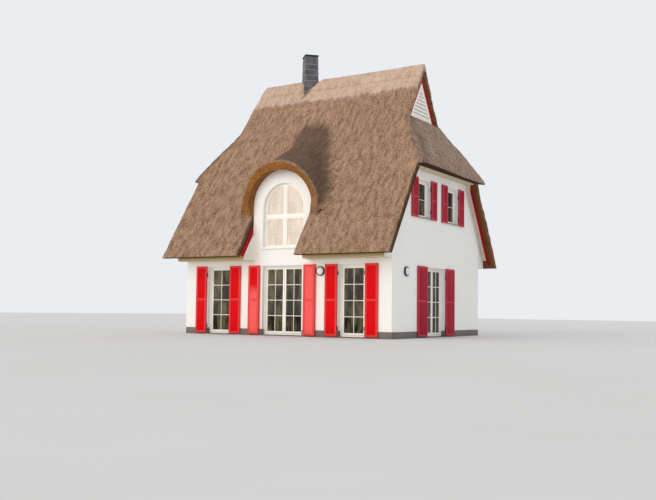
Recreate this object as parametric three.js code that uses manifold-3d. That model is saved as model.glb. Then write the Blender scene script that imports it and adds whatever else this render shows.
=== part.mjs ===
// A thatched cottage: one and a half storeys of rendered wall under a steep thatch with half-hipped
// gables, an arched dormer over the middle of the front, and a slate-hung chimney set cornerwise
// on the ridge. Millimetres, +Z up. The origin is the middle of the footprint on the ground, the
// front looks along -Y and the gable with the double door along +X.
import * as THREE from "three";
import { mergeVertices } from "three/addons/utils/BufferGeometryUtils.js";
import Module from "manifold-3d";

const wasm = await Module();
wasm.setup();

// Clearance between solids that touch, and the number of sides of a half circle.
const GAP = 0.3;
const BOW_STEPS = 16;

// Walls and floors
const HALF_W = 4000;
const HALF_D = 3400;
const WALL = 300;
const FLOOR_TOP = 30;
const PLINTH_TOP = 210;
const UPPER_FLOOR_TOP = 2800;
const UPPER_FLOOR_THICK = 200;

// Roof: both slopes of the thatch fall at SLOPE from the height where they would meet.
const APEX_Z = 9300;
const SLOPE = 1.549;
const THATCH = 220;
const EAVE_Z = 2540;
const VERGE_X = 4370;
const RIDGE_CUT_Z = 9100;
const ANGLE = Math.atan(SLOPE);
const UNDER_Z = APEX_Z - THATCH / Math.cos(ANGLE);

// Half hips: x and z of the outer face from the eave up, and the small gablet above.
const HIP_PROFILE = [
  [4560, 5400], [4530, 5600], [4430, 5760], [4310, 5920],
  [4180, 6080], [4050, 6250], [3730, 6750], [3430, 7300],
];
const HIP_THICK = 250;
const HIP_LAP = 110;
const GABLET_X = 3380;
const GABLET_FACE_X = 3310;
const LEFT_TOP_X = 3170;
const LEFT_GABLET_FACE_X = 3190;
const GABLET_THICK = 60;
const GABLET_BOARD = 90;

// Band of fresh straw over the ridge. Above CUT_TOP_Z the left end of the roof leans inwards.
const CUT_TOP_Z = 8050;
const CAP_DROP = 700;
const CAP_THICK = 60;
const CAP_HALF = 3360;

// Dormer: the arched bay of the wall and the hood of thatch that rises back from it.
const BAY_R = 1180;
const BAY_ARCH_Z = 4250;
const HOOD_R = 1470;
const HOOD_TOP_Z = 5680;
const HOOD_OUT = 300;
const HOOD_RISE = 0.63;
const HOOD_NARROWING = 0.11;
const HOOD_LENGTH = 2700;
const CUT_LEFT = -1210;
const CUT_RIGHT = 1120;

// Chimney, standing cornerwise and given by half its diagonal.
const CHIMNEY_X = -1230;
const CHIMNEY_HALF = 390;
const CHIMNEY_HALF_TOP = 325;
const CHIMNEY_TAPER_Z = 8300;
const CHIMNEY_TOP_Z = 10170;
const CHIMNEY_CAP_HALF = 365;
const CHIMNEY_CAP_THICK = 60;

// Boarding under the thatch: boxed eaves, verge boxes and red bargeboards.
const EAVES_OUT = 500;
const EAVES_Z = 2450;
const VERGE_BOX_X = 4165;
const VERGE_BOX_DROP = 110;
const BARGE_THICK = 25;
const BARGE_DROP = 289;
const BARGE_FOOT_Z = 2560;
const BARGE_TOP_Z = 5398;
const HIP_SOFFIT_X = 4300;
const HIP_SOFFIT_THICK = 40;
const COVE = 250;

// Doorways: widths and centres in each wall's own frame.
const DOOR_HEAD = 2270;
const SINGLE_DOOR = 920;
const DOUBLE_DOOR = 1560;
const DOOR_SIDE_X = 2600;
const GABLE_DOOR = 1400;
const GABLE_DOOR_Y = -265;
const REVEAL = 120;
const FRAME_DEPTH = 70;
const FRAME_BAR = 50;
const LEAF_THICK = 45;
const LEAF_CLEAR = 6;
const LEAF_STILE = 60;
const LEAF_BAR = 26;
const LEAF_ROWS = 4;
const GLASS = 10;
const KNUCKLE_R = 8;
const KNUCKLE_LONG = 80;
const KNUCKLE_OUT = 12;
const KNUCKLE_FROM_END = 200;

// Windows of the gables and of the bay.
const WINDOW_WIDTH = 900;
const WINDOW_Y = [-1210, 1060];
const WINDOW_Z = [3850, 5060];
const ARCH_HALF = 790;
const ARCH_SILL_Z = 2860;
const ARCH_SPRING_Z = 4180;
const TRANSOM_Z = 3880;

// Shutters and the pins that they turn on.
const SHUTTER_THICK = 40;
const SHUTTER_OFF = 15;
const SHUTTER_Z = [40, 2285];
const UPPER_SHUTTER_Z = [3830, 5110];
const FOLDED_WIDTH = 430;
const FOLDED_THICK = 84;
const FOLDED_FROM_EDGE = 90;
const HINGE_FROM_EDGE = 15;
const HINGE_TO_STILE = 20;
const MEETING_GAP = 10;
const BARREL_R = 11;
const BARREL_LONG = 90;
const BARREL_FROM_END = 220;
const PIN_HALF = 10;
const PIN_TALL = 30;
const STILE = 70;
const PANEL_SUNK = 10;

// Bulkhead lamps
const LAMP_R = 150;
const LAMP_DEPTH = 110;
const LAMP_Z = 2070;
const LAMP_FRONT_X = 1480;
const LAMP_GABLE_Y = -2470;

const lime = material(0xe9e7e1, 0.9);
const stone = material(0x9a9a97, 0.9);
const timber = material(0xb08a63, 0.7);
const thatch = material(0x8f7763, 1);
const freshStraw = material(0xb89a7c, 1);
const red = material(0xa3161b, 0.45);
const white = material(0xf0efea, 0.5);
const slate = material(0x5d6065, 0.7);
const lead = material(0x2b2f36, 0.6);
const glass = material(0x35403b, 0.1);
const opal = material(0xdcdcd8, 0.3);

const cottage = new THREE.Group();
const front = side(0, -HALF_D, 0);
const back = side(0, HALF_D, Math.PI);
const right = side(HALF_W, 0, Math.PI / 2);
const left = side(-HALF_W, 0, -Math.PI / 2);

function material(color, roughness) {
  return new THREE.MeshStandardMaterial({ color, roughness, metalness: 0 });
}

// A group in which X runs along a wall from left to right as seen from outside, Y goes inwards from
// the wall's outer face and Z is up.
function side(x, y, turn) {
  const group = new THREE.Group();
  group.position.set(x, y, 0);
  group.rotation.z = turn;
  cottage.add(group);
  return group;
}

function add(parent, name, geometry, finish) {
  const mesh = new THREE.Mesh(geometry, finish);
  mesh.name = name;
  parent.add(mesh);
}

function box(x0, x1, y0, y1, z0, z1) {
  const geometry = new THREE.BoxGeometry(x1 - x0, y1 - y0, z1 - z0);
  return geometry.translate((x0 + x1) / 2, (y0 + y1) / 2, (z0 + z1) / 2);
}

function post(x, y, radius, z0, z1) {
  const geometry = new THREE.CylinderGeometry(radius, radius, z1 - z0, 10);
  return geometry.rotateX(Math.PI / 2).translate(x, y, (z0 + z1) / 2);
}

function outline(points) {
  return new THREE.Shape(points.map(([a, b]) => new THREE.Vector2(a, b)));
}

function extrude(shape, depth, xAxis, yAxis, zAxis, origin) {
  const geometry = new THREE.ExtrudeGeometry(shape, { depth, bevelEnabled: false, curveSegments: 10 });
  const frame = new THREE.Matrix4().makeBasis(xAxis, yAxis, zAxis).setPosition(origin);
  return geometry.applyMatrix4(frame);
}

const X = new THREE.Vector3(1, 0, 0);
const Y = new THREE.Vector3(0, 1, 0);
const Z = new THREE.Vector3(0, 0, 1);

// A (y, z) outline carried along X.
function alongX(points, x0, x1) {
  return extrude(outline(points), x1 - x0, Y, Z, X, new THREE.Vector3(x0, 0, 0));
}

// An (x, z) shape carried along Y.
function alongY(shape, y0, y1) {
  return extrude(shape, y1 - y0, X, Z, Y.clone().negate(), new THREE.Vector3(0, y1, 0));
}

// An (x, y) shape carried along Z.
function alongZ(shape, z0, z1) {
  return extrude(shape, z1 - z0, X, Y, Z, new THREE.Vector3(0, 0, z0));
}

function solid(geometry) {
  const bare = geometry.clone();
  bare.deleteAttribute("normal");
  bare.deleteAttribute("uv");
  const welded = mergeVertices(bare, 1e-3);
  return new wasm.Manifold(new wasm.Mesh({
    numProp: 3,
    vertProperties: new Float32Array(welded.attributes.position.array),
    triVerts: new Uint32Array(welded.index.array),
  }));
}

function surface(body) {
  const mesh = body.getMesh();
  const geometry = new THREE.BufferGeometry();
  geometry.setAttribute("position", new THREE.BufferAttribute(mesh.vertProperties, 3));
  geometry.setIndex(new THREE.BufferAttribute(mesh.triVerts, 1));
  return geometry;
}

function join(...geometries) {
  return surface(geometries.map(solid).reduce((whole, piece) => whole.add(piece)));
}

function cut(geometry, ...cutters) {
  return surface(cutters.map(solid).reduce((rest, cutter) => rest.subtract(cutter), solid(geometry)));
}

// A closed body through two or more flat rings with the same number of points. Seen from the last
// ring, the points go round counterclockwise.
function loft(rings, flat) {
  const count = rings[0].length;
  const index = [];
  for (let r = 0; r + 1 < rings.length; r += 1) {
    for (let i = 0; i < count; i += 1) {
      const a = r * count + i;
      const b = r * count + (i + 1) % count;
      index.push(a, b, a + count, b, b + count, a + count);
    }
  }
  const faces = THREE.ShapeUtils.triangulateShape(rings[0].map(flat), []);
  const last = (rings.length - 1) * count;
  for (const [a, b, c] of faces) {
    index.push(a, c, b);
    index.push(last + a, last + b, last + c);
  }
  const geometry = new THREE.BufferGeometry();
  const positions = rings.flat().flatMap((p) => [p.x, p.y, p.z]);
  geometry.setAttribute("position", new THREE.Float32BufferAttribute(positions, 3));
  geometry.setIndex(index);
  return geometry;
}

const seenFromAbove = (p) => new THREE.Vector2(p.x, p.y);
const seenFromBehind = (p) => new THREE.Vector2(-p.x, p.z);

function thatchZ(y) {
  return APEX_Z - SLOPE * Math.abs(y);
}

function underZ(y) {
  return UNDER_Z - SLOPE * Math.abs(y);
}

function underY(z) {
  return (UNDER_Z - z) / SLOPE;
}

function rectangle(x0, x1, z0, z1) {
  return [[x0, z0], [x1, z0], [x1, z1], [x0, z1]];
}

// Points of a half circle, or of a half ellipse that is tall high, from right to left.
function bow(half, springZ, tall = half) {
  const points = [];
  for (let i = 0; i <= BOW_STEPS; i += 1) {
    const angle = (i / BOW_STEPS) * Math.PI;
    points.push([half * Math.cos(angle), springZ + tall * Math.sin(angle)]);
  }
  return points;
}

function arch(half, springZ, bottomZ) {
  return outline([[-half, bottomZ], [half, bottomZ], ...bow(half, springZ)]);
}

// Square ring of the chimney at a height.
function diamond(half, z) {
  const corners = [[0, -1], [1, 0], [0, 1], [-1, 0]];
  return corners.map(([a, b]) => new THREE.Vector3(CHIMNEY_X + a * half, b * half, z));
}

function chimneyShaft(extra, z0) {
  const rings = [
    diamond(CHIMNEY_HALF + extra, z0),
    diamond(CHIMNEY_HALF + extra, CHIMNEY_TAPER_Z),
    diamond(CHIMNEY_HALF_TOP + extra, CHIMNEY_TOP_Z),
  ];
  return loft(rings, seenFromAbove);
}

// Ground floor slab with the plinth that carries the walls, left open at the doorways.
function groundFloor() {
  const slab = box(-HALF_W, HALF_W, -HALF_D, HALF_D, 0, FLOOR_TOP);
  const kerb = box(-HALF_W, HALF_W, -HALF_D, HALF_D, FLOOR_TOP - 10, PLINTH_TOP - GAP);
  const inX = HALF_W - WALL;
  const inY = HALF_D - WALL;
  const room = box(-inX, inX, -inY, inY, 0, PLINTH_TOP);
  const single = SINGLE_DOOR / 2;
  const double = DOUBLE_DOOR / 2;
  const across = [
    box(-DOOR_SIDE_X - single, -DOOR_SIDE_X + single, -HALF_D - 1, HALF_D + 1, 0, PLINTH_TOP),
    box(-double, double, -HALF_D - 1, HALF_D + 1, 0, PLINTH_TOP),
    box(DOOR_SIDE_X - single, DOOR_SIDE_X + single, -HALF_D - 1, HALF_D + 1, 0, PLINTH_TOP),
  ];
  const y0 = GABLE_DOOR_Y - GABLE_DOOR / 2;
  const along = box(-HALF_W - 1, HALF_W + 1, y0, y0 + GABLE_DOOR, 0, PLINTH_TOP);
  const plinth = solid(cut(kerb, room, ...across, along));
  add(cottage, "ground_floor", surface(plinth.add(solid(slab))), stone);
}

function upperFloor() {
  const x = HALF_W - WALL - GAP;
  const y = HALF_D - WALL - GAP;
  const deck = box(-x, x, -y, y, UPPER_FLOOR_TOP - UPPER_FLOOR_THICK, UPPER_FLOOR_TOP);
  add(cottage, "upper_floor", cut(deck, chimneyShaft(GAP * 2, FLOOR_TOP)), timber);
}

// Iron pins in the wall under the two barrels of a shutter.
function pins(hingeX, [z0, z1]) {
  const barrels = [z0 + BARREL_FROM_END, z1 - BARREL_FROM_END - BARREL_LONG];
  const y0 = -SHUTTER_OFF - SHUTTER_THICK / 2 - PIN_HALF;
  return barrels.map((z) => box(hingeX - PIN_HALF, hingeX + PIN_HALF, y0, 1, z - PIN_TALL, z - GAP));
}

function wallPier(parent, name, x0, x1, hinges) {
  const pier = box(x0, x1, 0, WALL, PLINTH_TOP, DOOR_HEAD - GAP);
  const iron = hinges.flatMap((x) => pins(x, SHUTTER_Z));
  add(parent, name, join(pier, ...iron), lime);
}

function frontWalls() {
  const single = SINGLE_DOOR / 2;
  const double = DOUBLE_DOOR / 2;
  const out = HINGE_FROM_EDGE;
  const edge = DOOR_SIDE_X;
  wallPier(front, "front_wall_left", -HALF_W, -edge - single, [-edge - single - out]);
  wallPier(front, "front_wall_mid_left", -edge + single, -double, [-edge + single + out]);
  wallPier(front, "front_wall_mid_right", double, edge - single, [edge - single - out]);
  wallPier(front, "front_wall_right", edge + single, HALF_W, [edge + single + out]);
  const top = underZ(HALF_D) - 2 * GAP;
  const whole = outline([
    [-HALF_W, DOOR_HEAD], [HALF_W, DOOR_HEAD], [HALF_W, top], [BAY_R, top],
    ...bow(BAY_R, BAY_ARCH_Z), [-BAY_R, top], [-HALF_W, top],
  ]);
  const window = alongY(arch(ARCH_HALF, ARCH_SPRING_Z, ARCH_SILL_Z), -1, WALL + 1);
  add(front, "front_wall_upper", cut(alongY(whole, 0, WALL), window), lime);
}

// Outline of a gable wall above a height, in the wall's own frame. Over the front and back walls it
// runs out to a point under the thatch.
function gableOutline(bottomZ) {
  const half = HALF_D - WALL - GAP;
  const topZ = 5790;
  const step = underZ(HALF_D) - GAP;
  const end = underY(step + 2 * GAP);
  const topHalf = underY(topZ + 2 * GAP);
  return outline([
    [-half, bottomZ], [half, bottomZ], [half, step], [end, step],
    [topHalf, topZ], [-topHalf, topZ], [-end, step], [-half, step],
  ]);
}

function windowHole(centre) {
  return box(centre - WINDOW_WIDTH / 2, centre + WINDOW_WIDTH / 2, -1, WALL + 1, ...WINDOW_Z);
}

function gableWalls() {
  const half = HALF_D - WALL - GAP;
  const y0 = GABLE_DOOR_Y - GABLE_DOOR / 2;
  const y1 = GABLE_DOOR_Y + GABLE_DOOR / 2;
  wallPier(right, "right_wall_front", -half, y0, [y0 - HINGE_FROM_EDGE]);
  wallPier(right, "right_wall_back", y1, half, [y1 + HINGE_FROM_EDGE]);
  const upper = cut(alongY(gableOutline(DOOR_HEAD), 0, WALL), ...WINDOW_Y.map((y) => windowHole(y)));
  const iron = WINDOW_Y.flatMap((y) => [-1, 1].flatMap(
    (way) => pins(y + way * (WINDOW_WIDTH / 2 + HINGE_FROM_EDGE), UPPER_SHUTTER_Z),
  ));
  add(right, "right_wall_upper", join(upper, ...iron), lime);
  const holes = [...WINDOW_Y.map((y) => windowHole(-y)), box(-y1, -y0, -1, WALL + 1, 0, DOOR_HEAD)];
  add(left, "left_wall", cut(alongY(gableOutline(PLINTH_TOP), 0, WALL), ...holes), lime);
}

function backWall() {
  const wall = box(-HALF_W, HALF_W, 0, WALL, PLINTH_TOP, underZ(HALF_D) - 2 * GAP);
  const doorway = (x, width) => box(x - width / 2, x + width / 2, -1, WALL + 1, 0, DOOR_HEAD);
  const doors = [doorway(-DOOR_SIDE_X, SINGLE_DOOR), doorway(0, DOUBLE_DOOR), doorway(DOOR_SIDE_X, SINGLE_DOOR)];
  add(back, "back_wall", cut(wall, ...doors), lime);
}

// One slope of the thatch, drawn on its outer face: x across, u up the slope from the apex. Its
// upper corners stand at leftTop and rightTop. The outline and the thickness grow by extra, for
// cutting its neighbours clear of it.
function slopeSlab(extra, leftTop, rightTop) {
  const u = (z) => (z - APEX_Z) / Math.sin(ANGLE);
  const hip = HIP_PROFILE.map(([x, z]) => [Math.min(VERGE_X, x - HIP_LAP) + extra, u(z)]);
  hip[hip.length - 1][0] = GABLET_X + extra;
  const half = [[VERGE_X + extra, u(EAVE_Z - 400)], ...hip, [GABLET_X + extra, u(CUT_TOP_Z)]];
  const mirrored = half.map(([x, v]) => [-x, v]).reverse();
  const shape = outline([...half, [rightTop + extra, 0], [-leftTop - extra, 0], ...mirrored]);
  const up = new THREE.Vector3(0, Math.cos(ANGLE), Math.sin(ANGLE));
  const out = new THREE.Vector3(0, -Math.sin(ANGLE), Math.cos(ANGLE));
  const origin = out.clone().multiplyScalar(-THATCH - extra).add(new THREE.Vector3(0, 0, APEX_Z));
  const slab = extrude(shape, THATCH + 2 * extra, X, up, out, origin);
  const wide = 2 * VERGE_X;
  const eaves = box(-wide, wide, -wide, wide, 0, EAVE_Z - extra);
  const top = box(-wide, wide, -wide, wide, RIDGE_CUT_Z + extra, APEX_Z + VERGE_X);
  const other = box(-wide, wide, -GAP / 2 + extra, wide, 0, APEX_Z + VERGE_X);
  return cut(slab, eaves, top, other);
}

function frontSlope(extra) {
  return slopeSlab(extra, LEFT_TOP_X, GABLET_X);
}

function backSlope(extra) {
  return slopeSlab(extra, GABLET_X, LEFT_TOP_X).rotateZ(Math.PI);
}

function mainThatch() {
  const shaft = chimneyShaft(2 * GAP, FLOOR_TOP);
  const vault = alongY(arch(BAY_R + 5, BAY_ARCH_Z, 0), -HALF_D - HOOD_OUT, -HALF_D / 3);
  const notch = box(CUT_LEFT, CUT_RIGHT, -2 * HALF_D, -HALF_D - HOOD_OUT + 1, 0, BAY_ARCH_Z);
  add(cottage, "thatch_front", cut(frontSlope(0), shaft, vault, notch), thatch);
  add(cottage, "thatch_back", cut(backSlope(0), shaft), thatch);
}

function halfHips() {
  const rings = HIP_PROFILE.map(([x, z]) => {
    const half = (APEX_Z - z) / SLOPE;
    const corners = [[x - HIP_THICK, -half], [x, -half], [x, half], [x - HIP_THICK, half]];
    return corners.map(([a, b]) => new THREE.Vector3(a, b, z));
  });
  const hip = loft(rings, seenFromAbove);
  const slopes = [frontSlope(0.4), backSlope(0.4)];
  add(cottage, "thatch_hip_right", cut(hip, ...slopes), thatch);
  add(cottage, "thatch_hip_left", cut(hip.clone().rotateZ(Math.PI), ...slopes), thatch);
}

function ridgeCap() {
  const lift = CAP_THICK / Math.cos(ANGLE);
  const g = 2 * GAP;
  const flank = [
    [CAP_DROP, thatchZ(CAP_DROP) + g],
    [CAP_DROP + CAP_THICK * Math.sin(ANGLE), thatchZ(CAP_DROP) + CAP_THICK * Math.cos(ANGLE)],
    [230, thatchZ(230) + lift],
    [120, 9205],
  ];
  const inner = [(APEX_Z - RIDGE_CUT_Z) / SLOPE + GAP, RIDGE_CUT_Z + GAP];
  const mirrored = flank.map(([y, z]) => [-y, z]);
  const points = [inner, ...flank, [0, 9250], ...mirrored.reverse(), [-inner[0], inner[1]]];
  const band = alongX(points, -CAP_HALF, CAP_HALF);
  const leftEnd = extrude(
    outline([[-VERGE_X, CUT_TOP_Z], [-GABLET_X + 20, CUT_TOP_Z], [20 - LEFT_TOP_X, APEX_Z], [-VERGE_X, APEX_Z]]),
    2 * VERGE_X, X, Z, Y.clone().negate(), new THREE.Vector3(0, VERGE_X, 0),
  );
  add(cottage, "ridge_cap", cut(band, leftEnd, chimneyShaft(2 * GAP, FLOOR_TOP)), freshStraw);
}

// The hood of the dormer lies on the main slope and on the wall's arch. Its lip is cut back from
// the outer edge to the wall.
function dormerHood() {
  const frontY = -HALF_D - HOOD_OUT;
  const ring = (y, half, tall, centreZ, bottomZ) => {
    const points = [[half, bottomZ], ...bow(half, centreZ, tall), [-half, bottomZ]];
    return points.reverse().map(([x, z]) => new THREE.Vector3(x, y, z));
  };
  const centreZ = HOOD_TOP_Z - HOOD_R;
  const low = BAY_ARCH_Z / 2;
  const body = loft([
    ring(frontY, HOOD_R, HOOD_R, centreZ, low),
    ring(frontY + HOOD_LENGTH, HOOD_R - HOOD_NARROWING * HOOD_LENGTH, HOOD_R, centreZ + HOOD_RISE * HOOD_LENGTH, low),
  ], seenFromBehind);
  const r = BAY_R + GAP;
  const lip = loft([
    ring(frontY - 1, HOOD_R, HOOD_R, centreZ, 0),
    ring(-HALF_D, r, r, BAY_ARCH_Z, 0),
    ring(-HALF_D / 3, r, r, BAY_ARCH_Z, 0),
  ], seenFromBehind);
  const far = 2 * HALF_D;
  const slope = alongX([[-far, thatchZ(far) + 2 * GAP], [0, thatchZ(far)], [0, APEX_Z + 2 * GAP]], -far, far);
  add(cottage, "dormer_hood", cut(body, lip, slope), thatch);
}

// Louvred panel under the upper thatch, with red boards along its two slopes.
function gablet(faceX) {
  const z0 = HIP_PROFILE.at(-1)[1] + GAP;
  const half = underY(z0) - GAP;
  const apex = UNDER_Z - 2 * GAP;
  const panel = alongX([[-half, z0], [half, z0], [0, apex]], faceX - GABLET_THICK, faceX);
  const drop = GABLET_BOARD / Math.cos(ANGLE);
  const boards = cut(
    alongX([[-half, z0], [half, z0], [0, apex]], faceX - 1, faceX + BARGE_THICK),
    alongX([[-half, z0 - drop], [half, z0 - drop], [0, apex - drop]], faceX, faceX + THATCH),
  );
  return join(panel, boards);
}

function gablets() {
  add(cottage, "gablet_right", gablet(GABLET_FACE_X), white);
  add(cottage, "gablet_left", gablet(LEFT_GABLET_FACE_X).rotateZ(Math.PI), white);
}

// Red board under the thatch's verge, on the slope over negative y.
function bargeboard(x0, x1, topZ) {
  const g = 2 * GAP;
  const footY = (UNDER_Z - BARGE_DROP - BARGE_FOOT_Z) / SLOPE;
  const outY = underY(BARGE_FOOT_Z + 90);
  return alongX([
    [-outY, BARGE_FOOT_Z], [-footY, BARGE_FOOT_Z], [-underY(topZ), topZ - BARGE_DROP],
    [-underY(topZ), topZ - g], [-outY, underZ(outY) - g],
  ], x0, x1);
}

function vergeBoards() {
  const x0 = VERGE_BOX_X + GAP;
  const board = bargeboard(x0, x0 + BARGE_THICK, BARGE_TOP_Z);
  add(cottage, "bargeboard_right_front", board, red);
  add(cottage, "bargeboard_left_back", board.clone().rotateZ(Math.PI), red);
  const other = bargeboard(-x0 - BARGE_THICK, -x0, BARGE_TOP_Z);
  add(cottage, "bargeboard_left_front", other, red);
  add(cottage, "bargeboard_right_back", other.clone().rotateZ(Math.PI), red);
}

// White boarding between the right gable wall and its bargeboards.
function vergeBox() {
  const g = 2 * GAP;
  const outY = HALF_D + EAVES_OUT;
  const high = underY(BARGE_TOP_Z);
  const boardZ = BARGE_TOP_Z - HIP_SOFFIT_THICK;
  const low = underY(boardZ + VERGE_BOX_DROP);
  const points = [
    [outY, underZ(outY) - g], [high, BARGE_TOP_Z - g], [-high, BARGE_TOP_Z - g], [-outY, underZ(outY) - g],
    [-outY, underZ(outY) - VERGE_BOX_DROP], [-low, boardZ], [low, boardZ],
    [outY, underZ(outY) - VERGE_BOX_DROP],
  ];
  const board = box(VERGE_BOX_X - 1, HIP_SOFFIT_X, GAP - high, high - GAP, boardZ, BARGE_TOP_Z - g);
  return join(alongX(points, HALF_W - GAP - 1, VERGE_BOX_X), board);
}

function eavesBox(x0, x1) {
  const g = 2 * GAP;
  const inY = HALF_D + GAP;
  const outY = HALF_D + EAVES_OUT;
  return alongX([[-outY, EAVES_Z], [-inY, EAVES_Z], [-inY, underZ(inY) - g], [-outY, underZ(outY) - g]], x0, x1);
}

// White cheek beside the bay, hollowed out in plan towards the wall, under the red board.
function cheek(way, edge) {
  const shape = new THREE.Shape();
  const inner = edge - way * BARGE_THICK;
  const wallY = -HALF_D - GAP;
  shape.moveTo(edge + way, wallY);
  shape.lineTo(edge + way, -HALF_D - EAVES_OUT);
  shape.lineTo(inner, -HALF_D - EAVES_OUT);
  shape.lineTo(inner, wallY - COVE);
  shape.absarc(inner - way * COVE, wallY - COVE, COVE, way > 0 ? 0 : Math.PI, Math.PI / 2, way < 0);
  const far = 2 * HALF_D;
  const drop = BARGE_DROP + 2 * GAP;
  const above = alongX([
    [-far, underZ(far) - drop], [0, UNDER_Z - drop], [0, 2 * APEX_Z], [-far, 2 * APEX_Z],
  ], -far, far);
  return cut(alongZ(shape, EAVES_Z, underZ(HALF_D)), above);
}

// Each soffit boxes in an eaves and a verge, and the left one the back eaves as well.
function soffits() {
  const end = HALF_W - GAP;
  const wall = box(0, HALF_W + GAP, -HALF_D - GAP, HALF_D + GAP, 0, APEX_Z);
  const verge = cut(vergeBox(), wall);
  const rear = eavesBox(-end + 3, end + 3).rotateZ(Math.PI);
  const far = verge.clone().rotateZ(Math.PI);
  add(cottage, "soffit_right", join(eavesBox(CUT_RIGHT, end), cheek(1, CUT_RIGHT), verge), white);
  add(cottage, "soffit_left", join(eavesBox(-end, CUT_LEFT), cheek(-1, CUT_LEFT), far, rear), white);
  const topZ = underZ(HALF_D + GAP);
  add(cottage, "bay_board_left", bargeboard(CUT_LEFT + GAP, CUT_LEFT + BARGE_THICK, topZ), red);
  add(cottage, "bay_board_right", bargeboard(CUT_RIGHT - BARGE_THICK, CUT_RIGHT - GAP, topZ), red);
}

function chimney() {
  add(cottage, "chimney_stack", chimneyShaft(0, FLOOR_TOP + GAP), slate);
  const z0 = CHIMNEY_TOP_Z + GAP;
  const cap = [diamond(CHIMNEY_CAP_HALF, z0), diamond(CHIMNEY_CAP_HALF, z0 + CHIMNEY_CAP_THICK)];
  add(cottage, "chimney_cap", loft(cap, seenFromAbove), lead);
}

function doorFrame(centre, width) {
  const g = GAP;
  const x0 = centre - width / 2 + g;
  const x1 = centre + width / 2 - g;
  const y0 = REVEAL;
  const y1 = REVEAL + FRAME_DEPTH;
  const ring = cut(
    box(x0, x1, y0, y1, FLOOR_TOP + g, DOOR_HEAD - 2 * g),
    box(x0 + FRAME_BAR, x1 - FRAME_BAR, y0 - 1, y1 + 1, FLOOR_TOP + FRAME_BAR, DOOR_HEAD - FRAME_BAR),
  );
  return { ring, x0: x0 + FRAME_BAR, x1: x1 - FRAME_BAR };
}

const leafZ = [FLOOR_TOP + FRAME_BAR + LEAF_CLEAR, DOOR_HEAD - FRAME_BAR - LEAF_CLEAR];
const knuckleZ = [leafZ[0] + KNUCKLE_FROM_END, leafZ[1] - KNUCKLE_FROM_END - KNUCKLE_LONG];
const faceY = REVEAL + FRAME_DEPTH;

// Knuckles of a door frame under those of the leaf. way is 1 for a leaf hung on its left.
function frameKnuckles(x, way) {
  const axisX = x + way * LEAF_CLEAR / 2;
  return knuckleZ.flatMap((z) => [
    post(axisX, faceY + KNUCKLE_OUT, KNUCKLE_R, z - PIN_TALL, z - GAP),
    box(
      Math.min(x - way, x - way * 40), Math.max(x - way, x - way * 40),
      faceY - 1, faceY + KNUCKLE_OUT + 4, z - PIN_TALL, z - GAP,
    ),
  ]);
}

// A glazed leaf in the frame from x0 to x1, hung on its left (way 1) or right (way -1) edge.
function leaf(x0, x1, columns, way) {
  const a = x0 + (way > 0 ? LEAF_CLEAR : MEETING_GAP / 2);
  const b = x1 - (way > 0 ? MEETING_GAP / 2 : LEAF_CLEAR);
  const y0 = faceY - LEAF_THICK;
  const paneWidth = (b - a - 2 * LEAF_STILE - (columns - 1) * LEAF_BAR) / columns;
  const paneTall = (leafZ[1] - leafZ[0] - 2 * LEAF_STILE - (LEAF_ROWS - 1) * LEAF_BAR) / LEAF_ROWS;
  const pockets = [];
  for (let c = 0; c < columns; c += 1) {
    for (let r = 0; r < LEAF_ROWS; r += 1) {
      const x = a + LEAF_STILE + c * (paneWidth + LEAF_BAR);
      const z = leafZ[0] + LEAF_STILE + r * (paneTall + LEAF_BAR);
      const depth = (LEAF_THICK - GLASS) / 2;
      pockets.push(box(x, x + paneWidth, y0 - 1, y0 + depth, z, z + paneTall));
      pockets.push(box(x, x + paneWidth, faceY - depth, faceY + 1, z, z + paneTall));
    }
  }
  const hung = way > 0 ? x0 : x1;
  const axisX = hung + way * LEAF_CLEAR / 2;
  const plateX = [hung + way * LEAF_CLEAR, hung + way * LEAF_STILE].sort((p, q) => p - q);
  const hardware = knuckleZ.flatMap((z) => [
    post(axisX, faceY + KNUCKLE_OUT, KNUCKLE_R, z, z + KNUCKLE_LONG),
    box(...plateX, faceY - 1, faceY + KNUCKLE_OUT - 2, z, z + KNUCKLE_LONG),
  ]);
  return join(cut(box(a, b, y0, faceY, ...leafZ), ...pockets), ...hardware);
}

function doorway(parent, name, centre, width, leaves) {
  const { ring, x0, x1 } = doorFrame(centre, width);
  const knuckles = leaves.flatMap(([, way]) => frameKnuckles(way > 0 ? x0 : x1, way));
  add(parent, `${name}_frame`, join(ring, ...knuckles), white);
  const middle = (x0 + x1) / 2;
  for (const [leafName, way] of leaves) {
    const alone = leaves.length === 1;
    const from = alone || way > 0 ? x0 : middle;
    const to = alone || way < 0 ? x1 : middle;
    add(parent, leafName, leaf(from, to, 2, way), white);
  }
}

function doors() {
  doorway(front, "left_door", -DOOR_SIDE_X, SINGLE_DOOR, [["left_door_leaf", 1]]);
  doorway(front, "right_door", DOOR_SIDE_X, SINGLE_DOOR, [["right_door_leaf", -1]]);
  doorway(front, "middle_door", 0, DOUBLE_DOOR, [["middle_door_left_leaf", 1], ["middle_door_right_leaf", -1]]);
  doorway(right, "gable_door", GABLE_DOOR_Y, GABLE_DOOR, [["gable_door_front_leaf", 1], ["gable_door_back_leaf", -1]]);
}

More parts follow.
